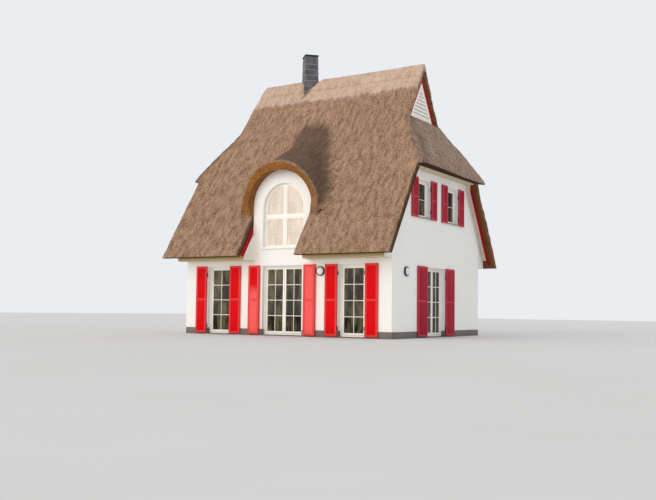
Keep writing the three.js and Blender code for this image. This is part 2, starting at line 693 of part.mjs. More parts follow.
// A panelled shutter beside its hinge line. way is -1 where it lies to the left of it.
function shutter(hingeX, way, width, [z0, z1]) {
  const near = hingeX + way * HINGE_TO_STILE;
  const far = near + way * width;
  const x0 = Math.min(near, far);
  const x1 = Math.max(near, far);
  const y0 = -SHUTTER_OFF - SHUTTER_THICK;
  const y1 = -SHUTTER_OFF;
  const middle = (z0 + z1) / 2;
  const fields = [[z0 + STILE, middle - STILE / 2], [middle + STILE / 2, z1 - STILE]];
  const pockets = fields.flatMap(([a, b]) => [
    box(x0 + STILE, x1 - STILE, y0 - 1, y0 + PANEL_SUNK, a, b),
    box(x0 + STILE, x1 - STILE, y1 - PANEL_SUNK, y1 + 1, a, b),
  ]);
  const axisY = (y0 + y1) / 2;
  const barrels = [z0 + BARREL_FROM_END, z1 - BARREL_FROM_END - BARREL_LONG];
  const strapX = [hingeX, near + way * STILE].sort((p, q) => p - q);
  const iron = barrels.flatMap((z) => [
    post(hingeX, axisY, BARREL_R, z, z + BARREL_LONG),
    box(...strapX, axisY - 5, axisY + 5, z + BARREL_LONG / 3, z + 2 * BARREL_LONG / 3),
  ]);
  return join(cut(box(x0, x1, y0, y1, z0, z1), ...pockets), ...iron);
}

function shutterPair(parent, names, centre, width, heights) {
  const leafWidth = (width + 2 * HINGE_FROM_EDGE - MEETING_GAP) / 2 - HINGE_TO_STILE;
  names.forEach((name, i) => {
    const way = i === 0 ? -1 : 1;
    const hingeX = centre + way * (width / 2 + HINGE_FROM_EDGE);
    add(parent, name, shutter(hingeX, way, leafWidth, heights), red);
  });
}

// The middle door's shutters fold back on themselves in two leaves.
function foldedShutter(way) {
  const near = way * (DOUBLE_DOOR / 2 + FOLDED_FROM_EDGE);
  const x = [near, near + way * FOLDED_WIDTH].sort((p, q) => p - q);
  return box(...x, -FOLDED_THICK - GAP, -GAP, ...SHUTTER_Z);
}

function shutters() {
  const [z, upper] = [SHUTTER_Z, UPPER_SHUTTER_Z];
  shutterPair(front, ["left_door_shutter_left", "left_door_shutter_right"], -DOOR_SIDE_X, SINGLE_DOOR, z);
  shutterPair(front, ["right_door_shutter_left", "right_door_shutter_right"], DOOR_SIDE_X, SINGLE_DOOR, z);
  shutterPair(right, ["gable_door_shutter_front", "gable_door_shutter_back"], GABLE_DOOR_Y, GABLE_DOOR, z);
  add(front, "middle_door_shutter_left", foldedShutter(-1), red);
  add(front, "middle_door_shutter_right", foldedShutter(1), red);
  const windows = [["front_window_shutter_a", "front_window_shutter_b"], ["back_window_shutter_a", "back_window_shutter_b"]];
  windows.forEach((names, i) => shutterPair(right, names, WINDOW_Y[i], WINDOW_WIDTH, upper));
}

// Frame, pane, bars and sill of a window that stays shut. The sill lies on the wall and hangs over
// its face by a lip that is wider than the opening.
function shutWindow(centre, half, bottomZ, outer, inner, bars, sill) {
  const y0 = REVEAL;
  const y1 = REVEAL + FRAME_DEPTH;
  const middle = (y0 + y1) / 2;
  return join(
    cut(alongY(outer, y0, y1), alongY(inner, y0 - 1, y1 + 1)),
    alongY(outer, middle - GLASS / 2, middle + GLASS / 2),
    box(centre - half, centre + half, -sill.out, y0 + 1, bottomZ, bottomZ + sill.thick),
    box(centre - half - sill.past, centre + half + sill.past, -sill.out, -GAP, bottomZ - sill.lip, bottomZ + sill.thick),
    ...bars.map((bar) => box(bar[0], bar[1], y0, y1, bar[2], bar[3])),
  );
}

function gableWindow(parent, name, centre) {
  const half = WINDOW_WIDTH / 2 - GAP;
  const [z0, z1] = [WINDOW_Z[0] + GAP, WINDOW_Z[1] - GAP];
  const bar = FRAME_BAR;
  const middleZ = (z0 + z1) / 2;
  const bars = [
    [centre - bar, centre + bar, z0 + 1, z1 - 1],
    [centre - half + 1, centre + half - 1, middleZ - bar / 4, middleZ + bar / 4],
  ];
  const outer = outline(rectangle(centre - half, centre + half, z0, z1));
  const inner = outline(rectangle(centre - half + 2 * bar, centre + half - 2 * bar, z0 + 2 * bar, z1 - 2 * bar));
  const sill = { out: 45, thick: 12, lip: 28, past: 12 };
  add(parent, name, shutWindow(centre, half, z0, outer, inner, bars, sill), white);
}

function windows() {
  WINDOW_Y.forEach((y, i) => gableWindow(right, ["front_window", "back_window"][i], y));
  const half = ARCH_HALF - GAP;
  const z0 = ARCH_SILL_Z + GAP;
  const bar = FRAME_BAR;
  const bars = [
    [-bar, bar, z0 + 1, ARCH_SPRING_Z + half - bar / 2],
    [-half + 1, half - 1, TRANSOM_Z - bar, TRANSOM_Z + bar],
  ];
  const outer = arch(half, ARCH_SPRING_Z, z0);
  const inner = arch(half - bar, ARCH_SPRING_Z, z0 + bar);
  const sill = { out: 60, thick: 20, lip: 40, past: 50 };
  add(front, "arch_window", shutWindow(0, half, z0, outer, inner, bars, sill), white);
}

// Sheets of glass behind the openings of the two walls whose doors and windows stay shut.
function plainGlazing() {
  const y0 = WALL + GAP;
  const inY = HALF_D - WALL - GAP;
  const reach = DOOR_SIDE_X + SINGLE_DOOR / 2 + FRAME_BAR;
  const ground = [FLOOR_TOP + GAP, DOOR_HEAD + FRAME_BAR];
  add(back, "back_glazing", box(-reach, reach, y0, y0 + GLASS, ...ground), glass);
  const doorHalf = GABLE_DOOR / 2 + FRAME_BAR;
  add(left, "left_glazing_ground", box(
    -GABLE_DOOR_Y - doorHalf, -GABLE_DOOR_Y + doorHalf, y0, y0 + GLASS, ...ground,
  ), glass);
  const windowHalf = Math.min(inY, WINDOW_Y[1] + WINDOW_WIDTH / 2 + 2 * FRAME_BAR + 200);
  add(left, "left_glazing_upper", box(
    -windowHalf, windowHalf, y0, y0 + GLASS, WINDOW_Z[0] - FRAME_BAR, WINDOW_Z[1] + FRAME_BAR,
  ), glass);
}

function lamp() {
  const profile = [
    [0, 0], [LAMP_R, 0], [LAMP_R, LAMP_DEPTH * 0.5], [LAMP_R * 0.8, LAMP_DEPTH * 0.6],
    [LAMP_R * 0.7, LAMP_DEPTH * 0.85], [LAMP_R * 0.4, LAMP_DEPTH], [0, LAMP_DEPTH],
  ];
  const points = profile.map(([r, h]) => new THREE.Vector2(r, h));
  return new THREE.LatheGeometry(points, 16).rotateX(Math.PI).translate(0, -GAP, LAMP_Z);
}

function lamps() {
  add(front, "front_lamp", lamp().translate(LAMP_FRONT_X, 0, 0), opal);
  add(right, "gable_lamp", lamp().translate(LAMP_GABLE_Y, 0, 0), opal);
}

groundFloor();
upperFloor();
frontWalls();
gableWalls();
backWall();
mainThatch();
halfHips();
ridgeCap();
dormerHood();
gablets();
vergeBoards();
soffits();
chimney();
doors();
shutters();
windows();
plainGlazing();
lamps();

export default cottage;
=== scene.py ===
"""Looks of the thatched cottage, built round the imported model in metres, +Z up. The front faces -Y and the
gable with the double door faces +X. Thatch, joinery, shutters, slates, louvres and lamps are made here;
walls, plinth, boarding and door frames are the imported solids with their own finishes."""
import math

import bpy
import numpy as np
from mathutils import Matrix, Vector


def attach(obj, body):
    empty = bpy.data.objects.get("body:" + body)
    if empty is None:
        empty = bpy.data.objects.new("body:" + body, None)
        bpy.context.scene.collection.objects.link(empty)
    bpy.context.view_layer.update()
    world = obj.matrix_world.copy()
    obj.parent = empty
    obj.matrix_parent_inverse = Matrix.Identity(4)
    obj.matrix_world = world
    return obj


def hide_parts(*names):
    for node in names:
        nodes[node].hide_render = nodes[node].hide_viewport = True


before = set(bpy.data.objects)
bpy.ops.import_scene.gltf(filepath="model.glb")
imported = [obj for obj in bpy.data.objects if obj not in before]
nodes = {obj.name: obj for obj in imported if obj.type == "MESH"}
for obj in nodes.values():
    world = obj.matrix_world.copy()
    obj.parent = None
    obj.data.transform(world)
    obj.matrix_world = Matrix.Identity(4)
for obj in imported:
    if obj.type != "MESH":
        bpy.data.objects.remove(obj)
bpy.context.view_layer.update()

# The building, in metres
HALF_W, HALF_D = 4.0, 3.4
APEX = 9.3
RISE = 1.549
PITCH = math.atan(RISE)
THATCH = 0.22
EAVE_Z = 2.54
VERGE_X = 4.37
BOARD_Y = 4.102
NOTCH = (-1.21, 1.04)
NOTCH_TOP = 5.2
RIM_Y, RIM_Z = -3.7, 4.21
BAY_R, BAY_Z = 1.175, 4.25
HOOD_RISE, HOOD_NARROWING = 0.63, 0.11
HIP = np.array([
    [4.57, 5.4], [4.53, 5.6], [4.46, 5.76], [4.36, 5.92],
    [4.27, 6.08], [4.18, 6.25], [3.79, 6.75], [3.44, 7.3],
])
HIP_REACH = 4.553
# Half widths of the slopes over the gablets, from the foot up
EDGE_Z = [7.1, 7.43, 8.1, 8.7, 9.3]
EDGE_RIGHT_FRONT = [3.58, 3.47, 3.445, 3.46, 3.43]
EDGE_RIGHT_BACK = [3.47, 3.43, 3.425, 3.39, 3.375]
EDGE_LEFT = [3.51, 3.49, 3.455, 3.38, 3.18]
# Sides of the patch of painted shade, with some damp darkening, beside the hood: height and x
FLANK_SHADE_LEFT = np.array([
    [3.9, 0.6], [5.0, 0.5], [5.3, -0.3], [5.6, -0.45],
    [6.0, -0.6], [6.79, -0.95], [7.25, -0.85], [7.49, -0.5],
]).T
FLANK_SHADE_RIGHT = np.array([
    [3.8, 1.1], [4.3, 1.7], [4.9, 1.7], [5.43, 1.42],
    [6.2, 1.1], [6.81, 0.85], [7.19, 0.6], [7.49, 0.2],
]).T
# Rows of points round the nose of a thatched edge, as padding
NOSE_ROWS = ((0, 6), (0, 0))
STACK_X = -1.23


# Shapes

LATTICE = np.random.default_rng(11).uniform(-1, 1, (32, 32, 32))


def lumps(points, size):
    """Smooth unevenness between -1 and 1: a lattice of seeded values, size metres apart, read between its
    eight nearest knots with eased weights."""
    place = np.asarray(points, float) / size
    knot = np.floor(place).astype(int)
    part = place - knot
    part = part * part * (3 - 2 * part)
    total = np.zeros(place.shape[:-1])
    for corner in np.ndindex(2, 2, 2):
        weight = np.prod(np.where(corner, part, 1 - part), -1)
        near = (knot + corner) % 32
        total += weight * LATTICE[near[..., 0], near[..., 1], near[..., 2]]
    return total


def eased(at, xs, ys, reach):
    """Straight stretches through the given points, averaged over a reach that rounds the bends."""
    return np.mean([np.interp(at + shift, xs, ys) for shift in np.linspace(-reach, reach, 9)], 0)


def joined(*parts):
    """Coordinates that belong together, made equally long and put side by side."""
    return np.stack(np.broadcast_arrays(*parts), -1)


def smooth(t):
    """Eases a value from 0 to 1."""
    t = np.clip(t, 0, 1)
    return t * t * (3 - 2 * t)


def outward(points, quads, tris=None):
    """Turns all faces round if the volume they enclose, summed up in tetrahedra, is negative."""
    tris = np.zeros((0, 3), int) if tris is None else tris
    flat = np.vstack([quads[:, [0, 1, 2]], quads[:, [0, 2, 3]], tris])
    a, b, c = (points[flat[:, k]] for k in range(3))
    if np.sum(a * np.cross(b, c)) < 0:
        quads, tris = quads[:, ::-1], tris[:, ::-1]
    return points, quads, tris


def thick_sheet(upper, lower, keep=None):
    """A closed body between two grids of points: the kept cells of the upper grid, the same cells of the
    lower one turned over, and a wall along every edge that only one kept cell has."""
    rows, cols = upper.shape[:2]
    keep = np.ones((rows - 1, cols - 1), bool) if keep is None else keep
    ids = np.arange(rows * cols).reshape(rows, cols)
    corners = [ids[:-1, :-1], ids[:-1, 1:], ids[1:, 1:], ids[1:, :-1]]
    top = np.stack(corners, -1)[keep]
    count = rows * cols
    quads = [top, top[:, ::-1] + count]
    ring = np.pad(keep, 1)
    for k, (di, dj) in enumerate([(-1, 0), (0, 1), (1, 0), (0, -1)]):
        p, q = corners[k], corners[(k + 1) % 4]
        edge = keep & ~ring[1 + di:rows + di, 1 + dj:cols + dj]
        quads.append(joined(q[edge], p[edge], p[edge] + count, q[edge] + count))
    quads = np.vstack(quads)
    used, quads = np.unique(quads, return_inverse=True)
    points = np.concatenate([upper.reshape(-1, 3), lower.reshape(-1, 3)])[used]
    return outward(points, quads.reshape(-1, 4)) + (used % count, used)


def lofted(rings, closed=False):
    """A body through rings of equally many points, which fans close at both ends unless it is a loop."""
    rings = np.asarray(rings, float)
    n, m = rings.shape[:2]
    ids = np.arange(n * m).reshape(n, m)
    a, b = (ids, np.roll(ids, -1, 0)) if closed else (ids[:-1], ids[1:])
    quads = joined(a, np.roll(a, -1, 1), np.roll(b, -1, 1), b).reshape(-1, 4)
    fan = joined(np.zeros(m - 2, int), np.arange(2, m), np.arange(1, m - 1))
    tris = None if closed else np.vstack([fan, fan[:, ::-1] + (n - 1) * m])
    return outward(rings.reshape(-1, 3), quads, tris)


def carried(path, outline, closed=False):
    """An outline carried along a path in a wall's plane. The path is (along, up), the outline is (distance
    to the left of the path, depth). At a corner the distance runs along the bisector and grows by the
    inverse of its cosine, so that the sides stay parallel. Gives points (along, depth, up)."""
    path = np.asarray(path, float)
    step = (np.roll(path, -1, 0) if closed else path[1:]) - (path if closed else path[:-1])
    step /= np.linalg.norm(step, axis=1, keepdims=True)
    left = joined(-step[:, 1], step[:, 0])
    before = np.roll(left, 1, 0) if closed else np.vstack([left[:1], left])
    after = left if closed else np.vstack([left, left[-1:]])
    mitre = (before + after) / (1 + np.sum(before * after, 1, keepdims=True))
    outline = np.asarray(outline, float)
    flat = path[:, None] + mitre[:, None] * outline[None, :, :1]
    depth = np.broadcast_to(outline[None, :, 1:], flat.shape[:2] + (1,))
    return lofted(np.concatenate([flat[..., :1], depth, flat[..., 1:]], -1), closed)


def circle(steps):
    """Cosine and sine of equal steps round a full turn."""
    angle = np.linspace(0, 2 * math.pi, steps, endpoint=False)
    return np.cos(angle), np.sin(angle)


def turned(profile):
    """A profile (radius, depth) carried round the depth axis. Gives points (along, depth, up)."""
    across, up = circle(40)
    radius, depth = np.asarray(profile, float).T[..., None]
    return lofted(joined(radius * across, depth, radius * up))


def barrel(x, y, radius, z0, z1):
    """A hinge barrel: circles carried up Z, drawn in a little at both ends."""
    across, deep = circle(12)
    nose = 0.3 * radius
    rings = []
    for share, z in [(0.75, z0), (1, z0 + nose), (1, z1 - nose), (0.75, z1)]:
        rings.append(joined(x + share * radius * across, y + share * radius * deep, z))
    return lofted(rings)


def board(x0, x1, y0, y1, z0, z1, edge=0.002):
    """A planed board: a rectangle without its arrises, carried up Z and drawn in at both ends."""
    corner = np.array([
        (x0 + edge, y0), (x1 - edge, y0), (x1, y0 + edge), (x1, y1 - edge),
        (x1 - edge, y1), (x0 + edge, y1), (x0, y1 - edge), (x0, y0 + edge),
    ])
    middle = np.array([x0 + x1, y0 + y1]) / 2
    inset = middle + (corner - middle) * (1 - 2 * edge / np.array([x1 - x0, y1 - y0]))
    levels = [(inset, z0), (corner, z0 + edge), (corner, z1 - edge), (inset, z1)]
    return lofted([joined(*ring.T, z) for ring, z in levels])


# Wall frames: along the wall from left to right as seen from outside, inwards from its face, up.
FRAMES = {
    "front": (np.array([[1, 0, 0], [0, 1, 0], [0, 0, 1]]), (0, -HALF_D, 0)),
    "back": (np.array([[-1, 0, 0], [0, -1, 0], [0, 0, 1]]), (0, HALF_D, 0)),
    "right": (np.array([[0, 1, 0], [-1, 0, 0], [0, 0, 1]]), (HALF_W, 0, 0)),
    "left": (np.array([[0, -1, 0], [1, 0, 0], [0, 0, 1]]), (-HALF_W, 0, 0)),
    "world": (np.eye(3), (0, 0, 0)),
}


def make(name, parts, look, wall="world", body="house", stands_for=(), maps=None, crease=32):
    """Joins parts given in a wall's frame into one mesh in the building's frame, with its finish and body.
    maps are values per point: a pair is a UV map, a single value an attribute."""
    turn, origin = FRAMES[wall]
    points, faces, shift = [], [], 0
    for part in parts:
        points.append(part[0] @ turn + origin)
        faces.append([sides + shift for sides in part[1:]])
        shift += len(part[0])
    quads, tris = (np.vstack(kind).tolist() for kind in zip(*faces))
    mesh = bpy.data.meshes.new(name)
    mesh.from_pydata(np.vstack(points).tolist(), [], quads + tris)
    mesh.polygons.foreach_set("use_smooth", np.ones(len(mesh.polygons), bool))
    mesh.set_sharp_from_angle(angle=math.radians(crease))
    corner = np.zeros(len(mesh.loops), np.int32)
    mesh.loops.foreach_get("vertex_index", corner)
    for key, values in (maps or {}).items():
        values = values.astype(np.float32)
        if values.ndim == 2:
            mesh.uv_layers.new(name=key).data.foreach_set("uv", values[corner].ravel())
        else:
            mesh.attributes.new(key, "FLOAT", "POINT").data.foreach_set("value", values)
    mesh.materials.append(look)
    piece = bpy.data.objects.new(name, mesh)
    bpy.context.scene.collection.objects.link(piece)
    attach(piece, body)
    if stands_for:
        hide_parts(*stands_for)


# Finishes


def put(tree, kind, inputs=None, **settings):
    """Adds a shader node, sets its options, and links or fills its inputs."""
    node = tree.nodes.new("ShaderNode" + kind)
    for key, value in settings.items():
        setattr(node, key, value)
    for key, value in (inputs or {}).items():
        if isinstance(value, bpy.types.NodeSocket):
            tree.links.new(value, node.inputs[key])
        else:
            node.inputs[key].default_value = value
    return node


def shade(r, g, b):
    """A linear colour from a display colour of 0 to 255."""
    return tuple(((c / 255 + 0.055) / 1.055) ** 2.4 if c > 10 else c / 3295 for c in (r, g, b)) + (1,)


def blend(tree, amount, first, second):
    """A colour between two others, by an amount from 0 to 1."""
    return put(tree, "Mix", {0: amount, 6: first, 7: second}, data_type="RGBA").outputs[2]


def span(tree, value, low, high, to_low=0.0, to_high=1.0):
    """Stretches a value between two limits to new limits."""
    return put(tree, "MapRange", {0: value, 1: low, 2: high, 3: to_low, 4: to_high}).outputs[0]


def reckon(tree, operation, first, second=0):
    """One operation on two values."""
    return put(tree, "Math", {0: first, 1: second}, operation=operation).outputs[0]


def plus(tree, first, second):
    """Two values added."""
    return reckon(tree, "ADD", first, second)


def times(tree, first, second):
    """Two values multiplied."""
    return reckon(tree, "MULTIPLY", first, second)


def scaled(tree, vector, factors):
    """A vector multiplied by another, axis by axis."""
    return put(tree, "VectorMath", {0: vector, 1: factors}, operation="MULTIPLY").outputs[0]


def mapped(tree, name):
    """The value that a piece carries at each point under a name."""
    return put(tree, "Attribute", attribute_name=name).outputs["Fac"]


def blend_value(tree, first, second, share):
    """Two values added in the shares 1 - share and share."""
    return plus(tree, times(tree, first, 1 - share), times(tree, second, share))


def noise(tree, vector, scale, detail, roughness=0.55):
    """Cloudy noise from 0 to 1."""
    inputs = {"Vector": vector, "Scale": scale, "Detail": detail, "Roughness": roughness}
    return put(tree, "TexNoise", inputs).outputs[0]


def stretched(tree, vector, scale):
    """A place with each axis multiplied by its own number."""
    return put(tree, "Mapping", {"Vector": vector, "Scale": scale}).outputs[0]


def effect(name, label, kind, value, results):
    """A new group of shader nodes that takes a place and one named value and gives named values."""
    tree = bpy.data.node_groups.new(name, "ShaderNodeTree")
    tree.interface.new_socket(name="Vector", in_out="INPUT", socket_type="NodeSocketVector")
    socket = tree.interface.new_socket(name=label, in_out="INPUT", socket_type="NodeSocket" + kind)
    socket.default_value = value
    for result in results:
        tree.interface.new_socket(name=result, in_out="OUTPUT", socket_type="NodeSocketFloat")
    return tree, *tree.nodes.new("NodeGroupInput").outputs[:2]


def ended(tree, *sockets):
    """Leads values to the outputs of an effect."""
    out = tree.nodes.new("NodeGroupOutput")
    for k, socket in enumerate(sockets):
        tree.links.new(socket, out.inputs[k])
    return tree


def use(tree, group, place, value):
    """Puts an effect into a tree with the place and the value that it takes, and gives its outputs."""
    return put(tree, "Group", {0: place, 1: value}, node_tree=group).outputs


def patches_effect():
    """Broad weathered patches with smaller blotches inside them."""
    tree, place, size = effect("patches", "Size", "Float", 1.0, ["Mask"])
    broad = noise(tree, place, reckon(tree, "DIVIDE", 1.0, size), 2)
    small = noise(tree, place, reckon(tree, "DIVIDE", 6.0, size), 4, 0.65)
    return ended(tree, span(tree, blend_value(tree, broad, small, 0.4), 0.34, 0.66))


def straw_effect():
    """Straws laid down the slope: fine long streaks, the tufts that they lie in, and their relief."""
    tree, place, width = effect("laid_straw", "Width", "Float", 0.012, ["Streak", "Tuft", "Relief"])
    wander = scaled(tree, place, (2.0, 2.0, 2.0))
    bend = put(tree, "TexNoise", {"Vector": wander, "Scale": 1.0, "Detail": 1.0}).outputs[1]
    sway = scaled(tree, bend, (0.12, 0.12, 0))
    swayed = put(tree, "VectorMath", {0: place, 1: sway}, operation="ADD").outputs[0]
    across = reckon(tree, "DIVIDE", 1.0, width)
    fineness = put(tree, "CombineXYZ", {0: across, 1: times(tree, across, 0.12), 2: 1.0}).outputs[0]
    streak = noise(tree, scaled(tree, swayed, fineness), 1.0, 3, 0.6)
    hand = noise(tree, stretched(tree, swayed, (40, 21, 1)), 1.0, 3, 0.75)
    bundle = noise(tree, stretched(tree, swayed, (7, 2.2, 1)), 1.0, 4, 0.7)
    tuft = blend_value(tree, hand, bundle, 0.38)
    height = plus(tree, times(tree, streak, 0.45), tuft)
    return ended(tree, span(tree, streak, 0.3, 0.7), span(tree, tuft, 0.39, 0.61), height)


def brush_effect():
    """Faint marks of a paint brush drawn along one direction, with drips of grime caught in them."""
    tree, place, along = effect("brush_marks", "Along", "Vector", (60, 60, 4), ["Relief", "Grime"])
    mark = noise(tree, scaled(tree, place, along), 1.0, 3, 0.6)
    worn = noise(tree, place, 3.5, 4, 0.7)
    return ended(tree, mark, times(tree, span(tree, worn, 0.48, 0.8), span(tree, mark, 0.35, 0.7)))


def splash_effect():
    """Dirt that rain throws up a wall: strongest at the ground and gone at Height, with a ragged top."""
    tree, place, height = effect("splash", "Height", "Float", 0.5, ["Mask"])
    up = put(tree, "SeparateXYZ", {0: place}).outputs[2]
    ragged = plus(tree, up, times(tree, noise(tree, place, 5.0, 4, 0.7), times(tree, height, 0.7)))
    return ended(tree, span(tree, ragged, height, times(tree, height, 0.25)))


PATCHES, STRAW, BRUSH, SPLASH = patches_effect(), straw_effect(), brush_effect(), splash_effect()


def finish(name, **plain):
    """A new material: its tree, shader, and the place on the object."""
    material = bpy.data.materials.new(name)
    material.use_nodes = True
    tree = material.node_tree
    shader = tree.nodes["Principled BSDF"]
    for key, value in plain.items():
        shader.inputs[key.replace("_", " ").title().replace("Ior", "IOR")].default_value = value
    return material, tree, shader, put(tree, "TexCoord").outputs["Object"]


def colour(tree, shader, socket, rough=None):
    """Leads a colour, and a roughness if there is one, to the shader."""
    tree.links.new(socket, shader.inputs["Base Color"])
    if rough is not None:
        tree.links.new(rough, shader.inputs["Roughness"])


def relief(tree, shader, height, depth, strength=1.0):
    """Tilts the shader's normals by a height from 0 to 1 that stands for a depth in metres."""
    bump = put(tree, "Bump", {"Height": height, "Distance": depth, "Strength": strength})
    tree.links.new(bump.outputs[0], shader.inputs["Normal"])


def thatch_finish(name, dark, grey, light, warm, contrast):
    """Weathered thatch: patches of three browns, bright tufts, fine straws, painted shade in the hollows
    between tufts and the gaps between straws. Where the sheet's ends value is 1 the straws show their cut
    ends, its shadow value darkens the undersides, and the value for damp and shade paints shade beside the
    hood and on the hips, with some damp darkening."""
    material, tree, shader, place = finish(name, specular_ior_level=0.12)
    straw = put(tree, "UVMap", uv_map="straw").outputs[0]
    laid = use(tree, STRAW, straw, 0.016)
    age = use(tree, PATCHES, place, 1.7)[0]
    moss = noise(tree, stretched(tree, straw, (1.1, 0.5, 1)), 1.0, 3, 0.6)
    greyed = blend(tree, span(tree, moss, 0.42, 0.66, 0.0, 0.55), dark, grey)
    base = blend(tree, age, greyed, light)
    tufted = blend(tree, times(tree, laid[1], contrast), base, warm)
    # Painted shade in the hollows between tufts and in the gaps between straws
    hollow_shade = times(tree, span(tree, laid[1], 0.62, 0.0), contrast)
    hollow_shaded = blend(tree, hollow_shade, tufted, shade(88, 69, 56))
    gap_shade = times(tree, span(tree, laid[0], 0.45, 0.0), contrast)
    gap_shaded = blend(tree, gap_shade, hollow_shaded, shade(76, 60, 48))
    ends = mapped(tree, "ends")
    stub = put(tree, "TexVoronoi", {"Vector": place, "Scale": 42.0}).outputs[0]
    browned = use(tree, PATCHES, place, 0.5)[0]
    stubs = blend(tree, span(tree, stub, 0.15, 0.65), shade(206, 148, 84), shade(124, 74, 30))
    cut_ends = blend(tree, times(tree, browned, 0.5), stubs, shade(112, 70, 36))
    faced = blend(tree, ends, gap_shaded, cut_ends)
    shadow = mapped(tree, "shadow")
    # Painted shade beside the hood and on the hips, with some damp darkening
    damp_and_shade = mapped(tree, "damp_and_shade")
    shaded_thatch = blend(tree, times(tree, damp_and_shade, 0.74), faced, shade(80, 65, 56))
    under = blend(tree, times(tree, shadow, 0.94), shaded_thatch, shade(66, 44, 30))
    colour(tree, shader, under, span(tree, laid[0], 0.0, 1.0, 0.98, 0.85))
    relief(tree, shader, laid[2], 0.035)
    return material


def render_finish():
    """Limewashed render: warm white, faint clouds of damp, a little splash at the foot, a sanded face. What
    stands proud of the wall is the shutters' ironwork."""
    material, tree, shader, place = finish("limewashed_render", roughness=0.9, specular_ior_level=0.2)
    cloud = use(tree, PATCHES, place, 2.6)[0]
    base = blend(tree, cloud, shade(246, 245, 241), shade(251, 250, 247))
    dirt = use(tree, SPLASH, place, 0.6)[0]
    wall = blend(tree, times(tree, dirt, 0.25), base, shade(206, 201, 192))
    xyz = put(tree, "SeparateXYZ", {0: place}).outputs
    halves = [(xyz[0], HALF_W), (xyz[1], HALF_D)]
    proud = [reckon(tree, "SUBTRACT", reckon(tree, "ABSOLUTE", axis), half) for axis, half in halves]
    iron = reckon(tree, "GREATER_THAN", reckon(tree, "MAXIMUM", *proud), 0.002)
    colour(tree, shader, blend(tree, iron, wall, shade(34, 33, 34)))
    coarse = times(tree, noise(tree, place, 14.0, 3), 1.5)
    relief(tree, shader, plus(tree, noise(tree, place, 160.0, 2), coarse), 0.0035, 0.5)
    return material


def plinth_finish():
    """Grey cement plinth, darker and damp towards the ground, with pores."""
    material, tree, shader, place = finish("cement_plinth", specular_ior_level=0.25)
    cloud = use(tree, PATCHES, place, 0.7)[0]
    damp_and_shade = use(tree, SPLASH, place, 0.2)[0]
    base = blend(tree, cloud, shade(112, 105, 101), shade(130, 122, 117))
    pores = put(tree, "TexVoronoi", {"Vector": place, "Scale": 90.0}).outputs[0]
    soaked = blend(tree, times(tree, damp_and_shade, 0.5), base, shade(92, 86, 82))
    colour(tree, shader, soaked, span(tree, damp_and_shade, 0.0, 1.0, 0.9, 0.7))
    relief(tree, shader, plus(tree, pores, noise(tree, place, 40.0, 3)), 0.003, 0.6)
    return material


def paint_finish(name, clean, worn, grime, along, roughness, raised=None, shine=0.5, sheen_colour=None):
    """Brushed paint on wood: colour that has faded in patches, grime in the brush marks and at the foot.
    raised is a painted highlight on the frames, where a piece's frame value is 1, and the last colour is a
    painted sheen of reflected light, where the piece's sheen value passes 0."""
    material, tree, shader, place = finish(name, specular_ior_level=shine)
    faded = use(tree, PATCHES, place, 0.8)[0]
    marks = use(tree, BRUSH, place, along)
    foot = use(tree, SPLASH, place, 0.5)[0]
    base = blend(tree, faded, clean, worn)
    # Painted highlight on the frames, and a painted sheen of reflected light where the sheen value is above
    # 0
    if raised:
        base = blend(tree, mapped(tree, "frame"), base, raised)
    if sheen_colour:
        base = blend(tree, span(tree, mapped(tree, "painted_sheen"), 0.0, 0.3), base, sheen_colour)
    streaks = times(tree, marks[1], 0.35)
    dirty = reckon(tree, "MAXIMUM", streaks, times(tree, foot, 0.3))
    rough = span(tree, faded, 0.0, 1.0, roughness - 0.07, roughness + 0.08)
    colour(tree, shader, blend(tree, dirty, base, grime), rough)
    relief(tree, shader, marks[0], 0.0012, 0.5)
    return material


def boarding_finish():
    """Cream boarding under the thatch: joints of the boards, grime in their brush marks. Undersides and the
    face of the eaves are painted yellow and greenish, most under the straw: painted shade with a painted
    cast of light reflected up from the ground."""
    material, tree, shader, place = finish("eaves_boarding", roughness=0.6, specular_ior_level=0.25)
    marks = use(tree, BRUSH, place, (5, 60, 60))
    normal = put(tree, "SeparateXYZ", {0: put(tree, "TexCoord").outputs["Normal"]}).outputs
    across, height = put(tree, "SeparateXYZ", {0: place}).outputs[1:3]
    # Painted shade tinted by painted ground-reflected light: eaves' face, undersides and under the half hips
    forward = reckon(tree, "GREATER_THAN", reckon(tree, "ABSOLUTE", normal[1]), 0.9)
    outside = reckon(tree, "GREATER_THAN", reckon(tree, "ABSOLUTE", across), 3.8)
    forward = times(tree, forward, outside)
    eaves_face = times(tree, forward, span(tree, height, 2.45, 2.53, 0.6, 1.0))
    low = times(tree, eaves_face, reckon(tree, "LESS_THAN", height, 2.57))
    down = span(tree, normal[2], -0.3, -0.8)
    gable = times(tree, reckon(tree, "GREATER_THAN", height, 5.28), 0.42)
    under = reckon(tree, "MAXIMUM", gable, reckon(tree, "MAXIMUM", low, times(tree, down, 0.5)))
    cream = blend(tree, times(tree, marks[1], 0.4), shade(240, 236, 224), shade(190, 180, 156))
    colour(tree, shader, blend(tree, under, cream, shade(202, 178, 104)))
    joint = span(tree, reckon(tree, "PINGPONG", across, 0.06), 0.0, 0.004)
    relief(tree, shader, plus(tree, joint, times(tree, marks[0], 0.2)), 0.003, 0.7)
    return material


